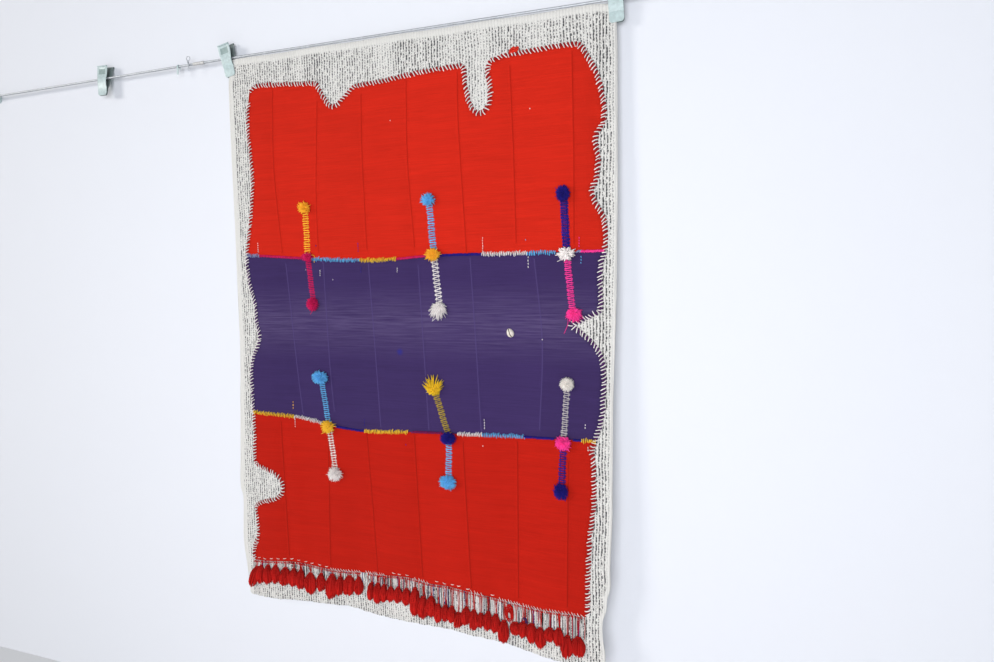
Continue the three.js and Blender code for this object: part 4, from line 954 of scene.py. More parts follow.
# The bands' outlines, clockwise from the top left, and the edges that are sewn down
UPPER_SEAM_LINE, LOWER_SEAM_LINE, BOTTOM_LINE = smooth(UPPER_SEAM), smooth(LOWER_SEAM), smooth(LOWER_BOTTOM)
BANDS = by_name("name outline joins left right", [
    ("upper", closed_outline([
        edge(UPPER_TOP), edge(UPPER_RIGHT), moved(UPPER_SEAM_LINE, SEAM_GAP / 2)[::-1],
        edge(UPPER_LEFT)[::-1]]), UPPER_JOINS, UPPER_LEFT, UPPER_TOP + UPPER_RIGHT),
    ("purple", closed_outline([
        moved(UPPER_SEAM_LINE, -SEAM_GAP / 2), edge(PURPLE_RIGHT),
        moved(LOWER_SEAM_LINE, SEAM_GAP / 2)[::-1], edge(PURPLE_LEFT)[::-1]]),
     PURPLE_JOINS, PURPLE_LEFT, PURPLE_RIGHT),
    ("lower", closed_outline([
        moved(LOWER_SEAM_LINE, -SEAM_GAP / 2), edge(LOWER_RIGHT), BOTTOM_LINE,
        edge(LOWER_LEFT)[::-1]]), LOWER_JOINS, LOWER_LEFT, LOWER_RIGHT),
])


def bottom_height(x):
    """Z of the lower band's lower edge."""
    order = np.argsort(BOTTOM_LINE[:, 0])
    return np.interp(x, BOTTOM_LINE[order, 0], BOTTOM_LINE[order, 1])


def weave_ground():
    """The speckled ground: plain rolled hem, plain selvedges and a slightly ragged lower edge."""
    sizes = bpy.context.scene.hanging_cloth
    left, bottom, right = smooth(GROUND_LEFT), smooth(GROUND_BOTTOM), smooth(GROUND_RIGHT)
    ragged = np.random.default_rng(11)
    bottom[1:-1, 1] += ragged.uniform(-1.6, 1.6, len(bottom) - 2)
    top = ground_top()
    outline = closed_outline([left, bottom, right, top])
    order = np.argsort(top[:, 0])

    def below_top(places):
        return np.interp(places[:, 0], top[order, 0], top[order, 1]) - places[:, 1]

    def from_side(places):
        return np.minimum(nearest(places, left)[0], nearest(places, right)[0] + 8)

    def front(places):
        below = below_top(places)
        fold = 1 - ease((below - HEM.height) / HEM.fade)
        hem = HEM.rise * fold - HEM.rise * np.exp(-((below - HEM.groove) / HEM.groove_half) ** 2)
        selvedge = SELVEDGE.rise * np.exp(-((from_side(places) - SELVEDGE.middle) / SELVEDGE.half) ** 2)
        ribs = RIBS.rise * np.sin(TURN * places[:, 0] / RIBS.wavelength)
        return GROUND_FRONT + hem + selvedge + ribs * ease((below - RIBS.start) / RIBS.fade)

    piece, places = cloth_sheet(
        "woven_ground_cloth", outline, [], sizes.ground_spacing / MM, 2 * GROUND_FRONT, front,
        speckled_material())
    point_values(piece, "hem", below_top(places))
    point_values(piece, "side", from_side(places))
    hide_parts("ground_kilim")


BAND_LOOKS = table("band node material_name colour join slot width length area", [
    ("upper", "upper_red_band", "red_wool_flatweave", "red", "red_join", "red_wool_cloth",
     1.156, 0.554, 0.572),
    ("purple", "purple_band", "purple_wool_flatweave", "purple", "purple_join", "purple_wool_cloth",
     1.159, 0.556, 0.584),
    ("lower", "lower_red_band", "deep_red_wool_flatweave", "deep_red", "deep_red_join",
     "deep_red_wool_cloth", 1.157, 0.521, 0.532),
])


def weave_band(look):
    """One band: narrow strips that swell between raised joins, drawn down by the stitches at its edge."""
    sizes = bpy.context.scene.hanging_cloth
    colours = bpy.context.scene.hanging_colours
    band = BANDS[look.band]
    loop = np.vstack([band.outline, band.outline[:1]])
    lines = [smooth(join) for join in band.joins]

    def join_gap(places):
        return np.min([nearest(places, line)[0] for line in lines], axis=0)

    def front(places):
        edge_gap, along = nearest(places, loop)
        gap = join_gap(places)
        swell = sizes.swell / MM * ease(np.minimum(edge_gap, gap) / STRIP.run_up)
        ridge = sizes.join_rise / MM * np.exp(-(gap / STRIP.join_half) ** 2)
        ridge = ridge * ease(edge_gap / STRIP.join_end)
        gather = STRIP.gather * np.cos(TURN * along / (2 * OVERCAST.spacing))
        gather = gather * np.exp(-edge_gap / STRIP.gather_reach)
        return BAND_FRONT + swell + ridge + gather - STRIP.dip * np.exp(-edge_gap / STRIP.dip_reach)

    material = band_material(
        look.material_name, tuple(getattr(colours, look.colour)), tuple(getattr(colours, look.join)),
        stain=look.band == "purple")
    piece, places = cloth_sheet(
        "woven_%s_cloth" % look.band, band.outline, band.joins, sizes.band_spacing / MM,
        BAND_FRONT - BAND_BACK, front, material)
    gap = join_gap(places)
    point_values(piece, "join", np.exp(-(gap / JOIN_ROWS[3]) ** 2))
    sewn = np.min([nearest(places, line)[0] for line in clockwise_edges(look.band)], axis=0)
    # Painted shade near the sewn edges, for the band's material
    point_values(piece, "margin", np.exp(-(sewn / EDGE_SHADE) ** 2))
    across, down = places[:, 0], -places[:, 1]
    number = sum((across > np.interp(down, -line[:, 1], line[:, 0])).astype(int) for line in lines)
    tones = np.random.default_rng(5).permutation(len(lines) + 1) / len(lines)
    point_values(piece, "strip", tones[number])
    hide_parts(look.node)


def stitch(skein, start, end, offsets, thick, bow=None, sides=4, reach=0.8):
    """Stitches from start to end places, rising and going down again by the offsets at even shares."""
    shares = np.linspace(0, 1, len(offsets))
    start, end = np.atleast_2d(start), np.atleast_2d(end)
    path = start[:, None] + (end - start)[:, None] * shares[None, :, None]
    if bow is not None:
        across = (end - start)[:, ::-1] * [-1, 1]
        across = across / (np.linalg.norm(across, axis=1, keepdims=True) + 1e-9)
        path = path + across[:, None] * (np.sin(math.pi * shares)[None, :] * bow[:, None])[..., None]
    heights = offsets + skein.random.uniform(-HAND.lift, HAND.lift, (len(start), 1))
    taper = np.ones(len(offsets))
    taper[[0, -1]] = 0.75
    width = thick * skein.random.uniform(0.86, 1.14, (len(start), 1)) * taper
    paths = on_cloth(path[..., 0], path[..., 1], heights)
    skein.strands(paths, width, sides=sides, reach=reach)


def overcast(skein, line, kind, turned_in=None):
    """Slanting overcast stitches along a clockwise edge, with the turned-in edge between them in a darker
    yarn, as painted shade.
    """
    places = resample(line, kind.spacing)
    travel = np.gradient(places, axis=0)
    places[1:-1] += skein.random.uniform(-HAND.place, HAND.place, (len(places) - 2, 2))
    travel[1:-1] = (travel[:-2] + 2 * travel[1:-1] + travel[2:]) / 4
    travel /= np.linalg.norm(travel, axis=1, keepdims=True)
    inward = np.column_stack([travel[:, 1], -travel[:, 0]])
    turning = np.abs(np.cross(travel, np.roll(travel, 1, axis=0)))
    turning[0] = 0
    strays = skein.random.uniform(-HAND.lean, HAND.lean, len(places))
    lean = np.radians(kind.lean * (1 - ease(turning / 0.5)) + strays)
    aim = inward * np.cos(lean)[:, None] + travel * np.sin(lean)[:, None]
    length = kind.length * skein.random.uniform(HAND.short, HAND.long, len(places))[:, None]
    start = places - aim * length * kind.outside
    end = places + aim * length * (1 - kind.outside)
    bow = skein.random.uniform(-HAND.bow, HAND.bow, len(places))
    stitch(skein, start, end, BAND_FRONT + LIFTS.overcast, kind.thick, bow=bow, sides=5)
    if turned_in is not None:
        between = (places[:-1] + places[1:]) / 2
        aim = (aim[:-1] + aim[1:]) / 2
        spread = turned_in.random.uniform(0.75, 1.2, len(between))[:, None]
        start = between + aim * EDGE_GAP.inside
        end = between - aim * EDGE_GAP.outside * spread
        offsets = BAND_FRONT + LIFTS.turned_in
        stitch(turned_in, start, end, offsets, EDGE_GAP.thick, sides=5, reach=0.95)


def clockwise_edges(band):
    """The band's sewn edges as polylines that keep the band on their right."""
    return [edge(BANDS[band].left)[::-1], edge(BANDS[band].right)]


def sew_edges():
    """The white wool round the bands, and the stitches along the lower edge."""
    for seed, (band, dark) in enumerate((("upper", "dark_red"), ("purple", "plum"), ("lower", "dark_red"))):
        skein, turned_in = Skein(20 + seed), Skein(30 + seed)
        for line in clockwise_edges(band):
            overcast(skein, line, OVERCAST, turned_in)
        if band == "lower":
            sew_bottom(skein)
        skein.piece("overcast_stitches_" + band, "white")
        # The turned-in edges, in darker yarns as painted shade
        turned_in.piece("turned_in_edge_" + band, dark)


def sew_bottom(skein):
    """Running stitches above the lower edge, with clusters of slanting ones over it."""
    x = np.arange(RUNNING.start, RUNNING.end, RUNNING.spacing)
    x = x + skein.random.uniform(-3, 3, len(x))
    x = x[[not any(part.start - 6 < place < part.end + 6 for part in BOTTOM_CLUSTERS) for place in x]]
    z = bottom_height(x) + RUNNING.above + skein.random.uniform(-2, 2, len(x))
    half = RUNNING.length / 2
    tilt = skein.random.uniform(-1.5, 1.5, len(x))
    start, end = np.column_stack([x - half, z - tilt]), np.column_stack([x + half, z + tilt])
    stitch(skein, start, end, BAND_FRONT + LIFTS.running, RUNNING.thick, sides=5)
    bottom = BOTTOM_LINE[np.argsort(BOTTOM_LINE[:, 0])]
    for cluster in BOTTOM_CLUSTERS:
        part = bottom[(bottom[:, 0] >= cluster.start) & (bottom[:, 0] <= cluster.end)]
        overcast(skein, part[::-1], CLUSTER)


def sew_seam(name, seam):
    """One seam's wool: upright stitches side by side, or slanting ones that lie like a cord."""
    skeins = {}
    for number, run in enumerate(SEAM_RUNS[name]):
        kind = SEAM_STITCHES[run.stitch]
        skein = skeins.setdefault(run.colour, Skein(40 + 7 * number + (name == "lower")))
        x = np.arange(run.start, run.end, kind.spacing)
        x = x + skein.random.uniform(-0.5, 0.5, len(x))
        z = np.interp(x, seam[:, 0], seam[:, 1]) + skein.random.uniform(-1, 1, len(x)) * kind.uneven
        half = kind.height / 2 * (1 + 0.16 * skein.random.uniform(-1, 1, len(x)) * kind.uneven)
        slant = kind.slant + skein.random.uniform(-1, 1, len(x)) * kind.uneven
        start = np.column_stack([x - slant / 2, z - half])
        end = np.column_stack([x + slant / 2, z + half])
        stitch(skein, start, end, BAND_FRONT + LIFTS.seam, kind.thick)
    for colour, skein in skeins.items():
        skein.piece("seam_wool_%s_%s" % (name, colour), colour)


def sew_tacking():
    """Short upright tacking stitches left in the cloth."""
    skeins = {}
    for row in TACKING:
        skein = skeins.setdefault(row.colour, Skein(60 + len(skeins)))
        step = (row.top - row.bottom) / row.stitches
        for number in range(row.stitches):
            top = row.top - number * step
            x = row.x + skein.random.uniform(-0.5, 0.5)
            end = (x + 0.6, top - 0.62 * step)
            stitch(skein, (x, top), end, BAND_FRONT + LIFTS.tacking, TACK_THICK)
    for colour, skein in skeins.items():
        skein.piece("tacking_stitches_" + colour, colour)


def tie_pompom(row, seed):
    """A head of cut wool: locks that spring from its tied middle and spread over the band."""
    cut = CUTS[row.cut]
    skein = Skein(seed)
    random = skein.random
    number = cut.locks
    # Directions spread evenly over the dome, from straight out to flat along the cloth
    order = (np.arange(number) + 0.5) / number
    rise = 1 - order * 1.02
    spread = np.sqrt(np.clip(1 - rise ** 2, 0, 1))
    turn = np.arange(number) * math.pi * (3 - math.sqrt(5)) + random.uniform(-0.2, 0.2, number)
    aim_x, aim_z = spread * np.cos(turn), spread * np.sin(turn)
    length = 1 + random.uniform(-cut.uneven, cut.uneven, number)
    spikes = (random.random(number) < cut.long) * random.uniform(0.5, 1.0, number) * row.lock
    if row.cut == "fan":
        spikes *= np.clip(0.25 + aim_z, 0, 1.1) * 1.15
    # No long locks where a bar leaves the head
    bar_above, bar_below = row.name.endswith(("middle", "bottom")), row.name.endswith(("top", "middle"))
    spikes[(bar_above & (aim_z > 0.75)) | (bar_below & (aim_z < -0.75))] = 0
    tip_x = aim_x * (row.half_width * length + spikes) + cut.lean_x * spread
    tip_z = aim_z * (row.half_height * length + spikes) + cut.lean_z * spread
    tip_out = np.maximum(rise, 0) * row.rise * length + 0.8 + random.uniform(0, 2.2, number) * spread
    root = np.column_stack([aim_x * row.half_width, aim_z * row.half_height]) * LOCK.root
    shares = np.linspace(0, 1, len(LOCK.shape))[None, :]
    bulge = np.sin(math.pi * shares * 0.85) * (row.rise * LOCK.bulge * spread[:, None] + 0.6)
    curl_x, curl_z = random.uniform(-LOCK.curl, LOCK.curl, (2, number, 1)) * np.sin(math.pi * shares)
    x = row.x + root[:, :1] + (tip_x[:, None] - root[:, :1]) * shares + curl_x
    z = row.z + root[:, 1:] + (tip_z[:, None] - root[:, 1:]) * shares + curl_z
    z = z - cut.droop * row.half_height * shares ** 2 * (0.4 + 0.6 * spread[:, None])
    out = np.maximum(tip_out[:, None] * shares + bulge, 0.4)
    widths = cut.thick * random.uniform(0.8, 1.2, (number, 1)) * LOCK.shape
    skein.strands(on_cloth(x, z, SEWN_ON + out), widths, reach=LOCK.reach)
    centre = on_cloth(row.x, row.z, SEWN_ON + HEART.out * row.rise)
    half_sizes = (HEART.width * row.half_width, HEART.rise * row.rise, HEART.width * row.half_height)
    skein.lump(centre, half_sizes, behind=HEART.out * row.rise + HEART.sunk)
    for tail in TAILS:
        if tail.piece == row.name and tail.colour == row.colour:
            lay_tail(skein, tail)
    skein.piece("wool_pompom_" + row.name, row.colour, "pompom_" + row.name)


def lay_tail(skein, tail):
    """A loose end of yarn that hangs from a pompom."""
    shares = np.linspace(0, 1, 9)
    run = np.array([tail.x2 - tail.x1, tail.z2 - tail.z1], float)
    across = np.array([-run[1], run[0]]) / np.hypot(*run)
    bow = tail.bow * np.sin(math.pi * shares * 1.3)
    x = tail.x1 + run[0] * shares + across[0] * bow
    z = tail.z1 + run[1] * shares + across[1] * bow
    offsets = SEWN_ON + 1.4 + 3.0 * np.exp(-((shares - 0.15) / 0.2) ** 2)
    skein.strands([on_cloth(x, z, offsets)], tail.thick, sides=5, reach=0.9)


def tie_extra_tails():
    """Loose ends in another yarn than their pompom's."""
    for number, tail in enumerate(TAILS):
        if POMPOMS[tail.piece].colour != tail.colour:
            skein = Skein(130 + number)
            lay_tail(skein, tail)
            skein.piece("loose_end_%s_%s" % (tail.piece, tail.colour), tail.colour)


def wrap_bar(row, seed):
    """A ladder bar: yarn carried across in rungs over two laid threads, with the band showing between."""
    first, last = POMPOMS[row.start], POMPOMS[row.end]
    skein = Skein(seed)
    random = skein.random
    start, end = np.array([first.x, first.z], float), np.array([last.x, last.z], float)
    along = (end - start) / np.hypot(*(end - start))
    across = np.array([along[1], -along[0]])
    start = start + along * BAR_TUCK * first.half_height
    end = end - along * BAR_TUCK * last.half_height
    length = np.hypot(*(end - start))
    number = max(4, int(round(length / row.spacing)))
    place = (np.arange(number) + 0.5) * length / number
    lean = np.where(np.arange(number) % 2, 1, -1) * row.lean + random.uniform(-0.5, 0.5, number)
    half = row.width / 2 * (1 + random.uniform(-0.07, 0.07, number))
    wander = np.sin(np.arange(number) * 0.55 + seed) * 0.6
    centre = start + along * place[:, None] + across * wander[:, None]
    x = centre[:, :1] + (across[0] * half[:, None] + along[0] * lean[:, None]) * RUNG.shares
    z = centre[:, 1:] + (across[1] * half[:, None] + along[1] * lean[:, None]) * RUNG.shares
    sag = random.uniform(-0.5, 0.3, (number, 1))
    widths = row.thick * random.uniform(0.88, 1.12, (number, 1)) * RUNG.taper
    skein.strands(on_cloth(x, z, SEWN_ON + RUNG.lift + sag), widths, sides=5, reach=0.85)
    shares = np.linspace(0, 1, LAID.stations)
    for side in LAID.sides:
        wave = side * row.width / 2 + 0.5 * np.sin(TURN * shares * 3 + seed)
        line = start + (end - start) * shares[:, None] + across * wave[:, None]
        path = on_cloth(line[:, 0], line[:, 1], SEWN_ON + LAID.lift)
        # A low tone and reach: painted shade under the rungs
        skein.strands([path], LAID.thick, sides=5, shade=0.1, reach=0.5)
    skein.piece("wool_bar_" + row.name, row.colour, "bar_" + row.name)


def tie_tassel(skein, row):
    """One teardrop tassel: soft threads that leave its neck, swell and end in an uneven cut."""
    random = skein.random
    number = int(TASSEL.strands * (0.5 + 0.5 * row.width / TASSEL.mean_width))
    radius = np.sqrt(random.random(number)) * TASSEL.swell_out
    turn = random.uniform(0, math.pi, number)
    across = (radius * np.cos(turn))[:, None]
    out = (radius * np.sin(turn))[:, None]
    neck, tip = np.array([row.top_x, row.top_z + 3.0]), np.array([row.x, row.z])
    reach = (1 - 0.24 * np.abs(across[:, 0]) ** 2.2 + random.uniform(-0.10, 0.05, number))[:, None]
    waves = random.uniform(-2.0, 2.0, (number, 1))
    waves = waves * np.sin(TURN * TASSEL.shares * random.uniform(0.6, 1.4, (number, 1)))
    x = neck[0] + (tip[0] - neck[0]) * TASSEL.shares * reach
    x = x + across * row.width / 2 * TASSEL.swell + waves
    z = neck[1] + (tip[1] - neck[1]) * TASSEL.shares * reach
    offsets = GROUND_FRONT + 1.4 + (0.15 + out) * TASSEL.rise * TASSEL.swell
    widths = TASSEL.thick * random.uniform(0.8, 1.25, (number, 1)) * TASSEL.widths
    # Painted shade: the threads are darker at the neck and towards the tassel's sides, where tassels meet
    skein.strands(on_cloth(x, z, offsets), widths, reach=TASSEL.ends * (1 - 0.6 * across ** 2))
    middle = neck + (tip - neck) * 0.55
    half_sizes = TASSEL.heart * np.array([row.width, TASSEL.rise, abs(tip[1] - neck[1])])
    skein.lump(on_cloth(middle[0], middle[1], GROUND_FRONT + 0.4 * TASSEL.rise), half_sizes, 0.05, 0.2)
    shares = np.linspace(-1, 1, 7)
    for lap in range(NECK_WRAP.turns):
        level = row.top_z + 2.6 - NECK_WRAP.step * lap
        half = 0.13 * row.width + 1.6
        rise = GROUND_FRONT + 0.6 + NECK_WRAP.rise * np.sqrt(np.clip(1 - shares ** 2, 0, 1))
        path = on_cloth(row.top_x + half * shares, level + 0.4 * shares, rise)
        skein.strands([path], NECK_WRAP.thick, sides=4, reach=0.9)


def tie_fringe(side, seed):
    """One run of tassels, with the narrow strip of knots that their bundles leave."""
    skein = Skein(seed)
    rows = TASSELS[side]
    shares = np.linspace(0, 1, 6)
    for row in rows:
        tie_tassel(skein, row)
        bundle = (BUNDLE + skein.random.uniform(-0.5, 0.5, len(BUNDLE)))[:, None]
        root = bottom_height(row.top_x) - 2.0
        x = row.top_x + bundle * (1.6 - 0.9 * shares) + skein.random.uniform(-0.6, 0.6, (len(BUNDLE), 6))
        z = root + (row.top_z + 1.0 - root) * shares
        skein.strands(on_cloth(x, z, GROUND_FRONT + 1.3), 0.95, reach=0.75)
    x = np.arange(rows[0].top_x - 10, rows[-1].top_x + 12, KNOT.spacing)
    x = x + skein.random.uniform(-1, 1, len(x))
    z = bottom_height(x)
    start, end = np.column_stack([x - 0.7, z + KNOT.top]), np.column_stack([x + 0.7, z + KNOT.bottom])
    stitch(skein, start, end, GROUND_FRONT + LIFTS.knot, KNOT.thick)
    skein.piece("wool_tassel_fringe_" + side, "deep_red", "tassel_fringe_" + side)


def hang_warp_ends():
    """Upright thread ends of many colours between the lower band and the tassels."""
    rows = sorted((row for rows in TASSELS.values() for row in rows), key=lambda row: row.top_x)
    necks = np.array([[row.top_x, row.top_z] for row in rows])
    skeins = {}
    chance = np.random.default_rng(301)
    shares = np.linspace(0, 1, 7)
    for x in np.arange(WARP_ENDS.start, WARP_ENDS.end, WARP_ENDS.spacing):
        colour = WARP_COLOURS[chance.integers(len(WARP_COLOURS))]
        skein = skeins.setdefault(colour, Skein(310 + len(skeins)))
        x = x + chance.uniform(-2.2, 2.2)
        top = bottom_height(x) - 0.5
        low = np.interp(x, necks[:, 0], necks[:, 1]) - WARP_ENDS.past_neck * chance.uniform(0.2, 1.0)
        wave = chance.uniform(-2.0, 2.0) * np.sin(math.pi * shares) + chance.uniform(-2.5, 2.5) * shares
        offsets = GROUND_FRONT + 1.0 + 0.7 * np.sin(TURN * shares + chance.uniform(0, 6))
        path = on_cloth(x + wave, top + (low - top) * shares, offsets)
        skein.strands([path], WARP_ENDS.thick, sides=4, reach=0.85)
    for colour, skein in skeins.items():
        skein.piece("warp_ends_" + colour, colour)


def pile_threads():
    """Heaps of loose threads that lie in rings beside the right tassels."""
    shares = np.linspace(0, 1, 8)
    for row in HEAPS:
        skein = Skein(row.seed)
        random = skein.random
        each = (row.threads, 1)
        start = random.uniform(-0.9, 0.9, each)
        swing = random.uniform(1.2, 3.0, each) * random.choice([-1, 1], each)
        turn = start * math.pi + swing * shares
        size = random.uniform(0.35, 1.0, each)
        x = (row.x1 + row.x2) / 2 + (row.x2 - row.x1) / 2 * size * np.cos(turn)
        z = size * np.sin(turn) + random.uniform(-0.25, 0.25, each)
        z = (row.z1 + row.z2) / 2 + (row.z1 - row.z2) / 2 * z
        offsets = GROUND_FRONT + 1.2 + row.rise * random.uniform(0, 1, each) * (1 - size * 0.6)
        skein.strands(on_cloth(x, z, offsets), 1.15, sides=4, reach=0.7)
        skein.piece("thread_heap_" + row.colour, row.colour)


def knot_tuft():
    """A tuft of loose red thread caught on the top edge."""
    skein = Skein(351)
    random = skein.random
    each = (TUFT.strands, 1)
    tilt = math.radians(TUFT.degrees)
    shares = np.linspace(0, 1, 9)
    turn = random.uniform(0, TURN, each) + random.uniform(1.5, 4.0, each) * shares
    size = random.uniform(0.3, 1.0, each)
    u = TUFT.width / 2 * (size * np.cos(turn) + random.uniform(-0.2, 0.2, each))
    v = TUFT.height / 2 * (size * np.sin(turn) + random.uniform(-0.2, 0.2, each))
    x = TUFT.x + u * math.cos(tilt) + v * math.sin(tilt)
    z = TUFT.z - u * math.sin(tilt) + v * math.cos(tilt)
    offsets = BAND_FRONT + 1.0 + TUFT.rise * random.uniform(0.1, 0.95, each) * (1.1 - size)
    skein.strands(on_cloth(x, z, offsets), TUFT.thick, sides=4, reach=0.85)
    skein.lump(on_cloth(TUFT.x, TUFT.z, BAND_FRONT + 1.5), (9, 3, 5))
    skein.piece("red_loose_thread_tuft", "thread_red", "red_thread_tuft")


# Metals, and the clips, wire, hooks and plates
STEELS = by_name("name title code metallic roughness coat", [
    ("coated", "grey_green_coated_steel", "#B4C6C5", 0.0, 0.42, 0.2),
    # The pressed panel is a darker grey-green
    ("panel", "panel_grey_green_coated_steel", "#8CA09D", 0.0, 0.5, 0.1),
    # The back leaves' darker coating is painted shade behind the front leaves
    ("back", "dark_coated_steel", "#74817F", 0.0, 0.45, 0.2),
    ("spring", "dark_tempered_spring_steel", "#43494B", 0.9, 0.38, 0.0),
    ("sleeve", "dull_pressed_steel", "#C9C8C5", 0.3, 0.5, 0.0),
    ("wire", "drawn_steel_wire", "#C4C8CC", 0.7, 0.5, 0.0),
])
# Clips: where each hangs on the wire, its tilt and swing in degrees, and whether it holds the cloth
CLIPS = table("name x tilt swing holds", [
    ("clip_spare", -1124, -2, 8, False), ("clip_left", -596, 10, 0, True), ("clip_right", 623, 3, 0, True)])
LEAF = SimpleNamespace(sheet=1.2, columns=12, tip_open=1.9, tip_on_cloth=3.3, tip_end=-35)
PANEL = SimpleNamespace(half=14, low=13, high=32.5, depth=1.0)
SOFT_EDGE = 0.3
FRONT_HANDLE = SimpleNamespace(start=12, out=8.6, height=0.84, flare=0.55)    # as in the solids
# A leaf's section from its tip up to its rolled lip: height, how far out it stands, and half width
LEAF_ROWS = table("up out half", [
    (-57.0, 0, 11), (-56.2, 0, 15), (-53.5, 0, 17.8), (-49.5, 0, 19), (-45.0, 0, 19), (-38.0, 1, 19),
    (-30.0, 3.0, 19), (-22.0, 6.4, 19), (-14.0, 7.6, 19), (-6.0, 8.4, 19), (6.0, 8.6, 20.8),
    (14.0, 9.1, 22), (18.0, 9.4, 22), (21.0, 9.6, 22), (24.0, 9.9, 22), (32.0, 10.5, 22), (36.0, 10.9, 22),
    (38.5, 11.1, 22), (42.0, 11.4, 22), (45.0, 12.1, 22), (47.2, 13.4, 21.8), (47.8, 15.0, 21.5),
    (46.9, 16.4, 21.2), (45.2, 16.8, 21), (43.8, 16.1, 21),
])
SPRING = SimpleNamespace(inner=5.4, outer=7.2, length=12, turns=5)
STRAP_HOOK = SimpleNamespace(x=-796, width=6, sheet=1.4, leg=27, back_leg=9)
LOOP_HOOK = SimpleNamespace(x=-749, ring=6.5, wire=1.5, tail=19, rise=18)
SPLICE = SimpleNamespace(x=-712, length=44, outer=5.0)
BORE_RADIUS = WIRE_RADIUS + 0.6
PLATE = SimpleNamespace(radius=18, thickness=4, post=6, post_length=32, flare=1.5, step=1.0, tip=1.2)
FERRULE = SimpleNamespace(length=16, outer=5.6, from_post=1)
WIRE_ENDS = table("side plate end inward", [("left", 0.0, 0, 1), ("right", 2490.0, -1, -1)])
STRANDS = SimpleNamespace(lay=34, number=6, depth=0.1, around=24)     # the wire's outer strands


def pick(piece=None):
    """Deselects everything, in object mode, and picks the piece, if one is given."""
    if bpy.context.object and bpy.context.object.mode != "OBJECT":
        bpy.ops.object.mode_set(mode="OBJECT")
    bpy.ops.object.select_all(action="DESELECT")
    if piece:
        piece.select_set(True)
        bpy.context.view_layer.objects.active = piece


def pick_faces(piece, test):
    """In edit mode, selects only the faces that pass the test."""
    bpy.ops.mesh.select_mode(type="FACE")
    bpy.ops.mesh.select_all(action="DESELECT")
    mesh = bmesh.from_edit_mesh(piece.data)
    for face in mesh.faces:
        face.select_set(bool(test(face)))
    bmesh.update_edit_mesh(piece.data)


def modify(piece, kind, **settings):
    """Gives the piece a modifier with these settings."""
    modifier = piece.modifiers.new(kind.lower(), kind)
    for name, value in settings.items():
        setattr(modifier, name, value)


def apply_all(piece):
    """Applies the piece's place and its modifiers, so that it stands at the origin."""
    pick(piece)
    bpy.ops.object.transform_apply(location=True, rotation=True, scale=True)
    for modifier in list(piece.modifiers):
        bpy.ops.object.modifier_apply(modifier=modifier.name)


def finish_hard(piece, name, material, node=None, angle=40):
    """Names a hard piece, smooths it by angle and lets it ride on the hanging in place of its node."""
    piece.name = piece.data.name = name
    piece.data.materials.clear()
    piece.data.materials.append(material)
    pick(piece)
    bpy.ops.object.shade_smooth_by_angle(angle=math.radians(angle))
    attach(piece, "root")
    if node:
        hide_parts(node)


def steel(name):
    """The hanging's metals, each made once."""
    if name not in MADE:
        look = STEELS[name]
        MADE[name] = steel_material(look.title, look.code, look.metallic, look.roughness, look.coat)
    return MADE[name]


def flat_blank(columns, rows):
    """A flat blank of sheet steel, and each of its points with its share across and its row."""
    pick()
    bpy.ops.mesh.primitive_grid_add(x_subdivisions=columns, y_subdivisions=rows - 1, size=1)
    piece = bpy.context.object
    points = [(vert, vert.co.x, int(round((vert.co.y + 0.5) * (rows - 1)))) for vert in piece.data.vertices]
    return piece, points


def bend_leaf(name, facing, row):
    """A clip's leaf: a flat blank bent to its section row by row, with a pressed panel and a rolled lip."""
    piece, points = flat_blank(LEAF.columns, len(LEAF_ROWS))
    tip = LEAF.tip_on_cloth if row.holds else LEAF.tip_open
    for vert, share, number in points:
        section = LEAF_ROWS[number]
        out, up = section.out + (tip if section.up < LEAF.tip_end else 0), section.up
        x = 2 * share * section.half
        if facing > 0 and up > FRONT_HANDLE.start:
            out = FRONT_HANDLE.out + (out - FRONT_HANDLE.out) * FRONT_HANDLE.flare
            up = FRONT_HANDLE.start + (up - FRONT_HANDLE.start) * FRONT_HANDLE.height
        if abs(x) < PANEL.half and PANEL.low < up < PANEL.high:
            out -= PANEL.depth
        vert.co = Vector((x, -facing * out, up)) * MM
    for face in piece.data.polygons:
        x, _, up = face.center / MM
        face.material_index = int(facing > 0 and abs(x) < PANEL.half and PANEL.low < up < PANEL.high)
    modify(piece, "SOLIDIFY", thickness=LEAF.sheet * MM, offset=0)
    modify(piece, "BEVEL", width=SOFT_EDGE * MM, segments=2, limit_method="ANGLE")
    apply_all(piece)
    indices = [face.material_index for face in piece.data.polygons]
    # The back leaf takes a darker copy of the coating: painted shade
    finish_hard(piece, name, steel("coated" if facing > 0 else "back"), angle=35)
    piece.data.materials.append(steel("panel"))
    piece.data.polygons.foreach_set("material_index", indices)
    return piece


def clip_place(row):
    """Where a clip hangs on the wire."""
    slant = math.tan(math.radians(abs(row.tilt))) * SPRING.length / 2
    hangs = max(0.0, SPRING.inner - BORE_RADIUS - slant)
    place = to_frame((row.x, -WIRE_FROM_WALL, float(wire_height(row.x)) - hangs))
    tilt = Matrix.Rotation(math.radians(-row.tilt), 4, "Y")
    return Matrix.Translation(place) @ tilt @ Matrix.Rotation(math.radians(-row.swing), 4, "X")


def metal_rod(name, path, radius, material, sides=10):
    """A bent round rod along a path in metres, with closed ends."""
    skein = Skein(1)
    path = np.asarray(path, float) / MM - [HANGING_X, 0, 0]
    skein.strands([path], radius, sides=sides)
    piece = new_piece(name, np.vstack(skein.points), skein.faces, material)
    map_corners(piece, "yarn", np.vstack(skein.corners))
    return piece


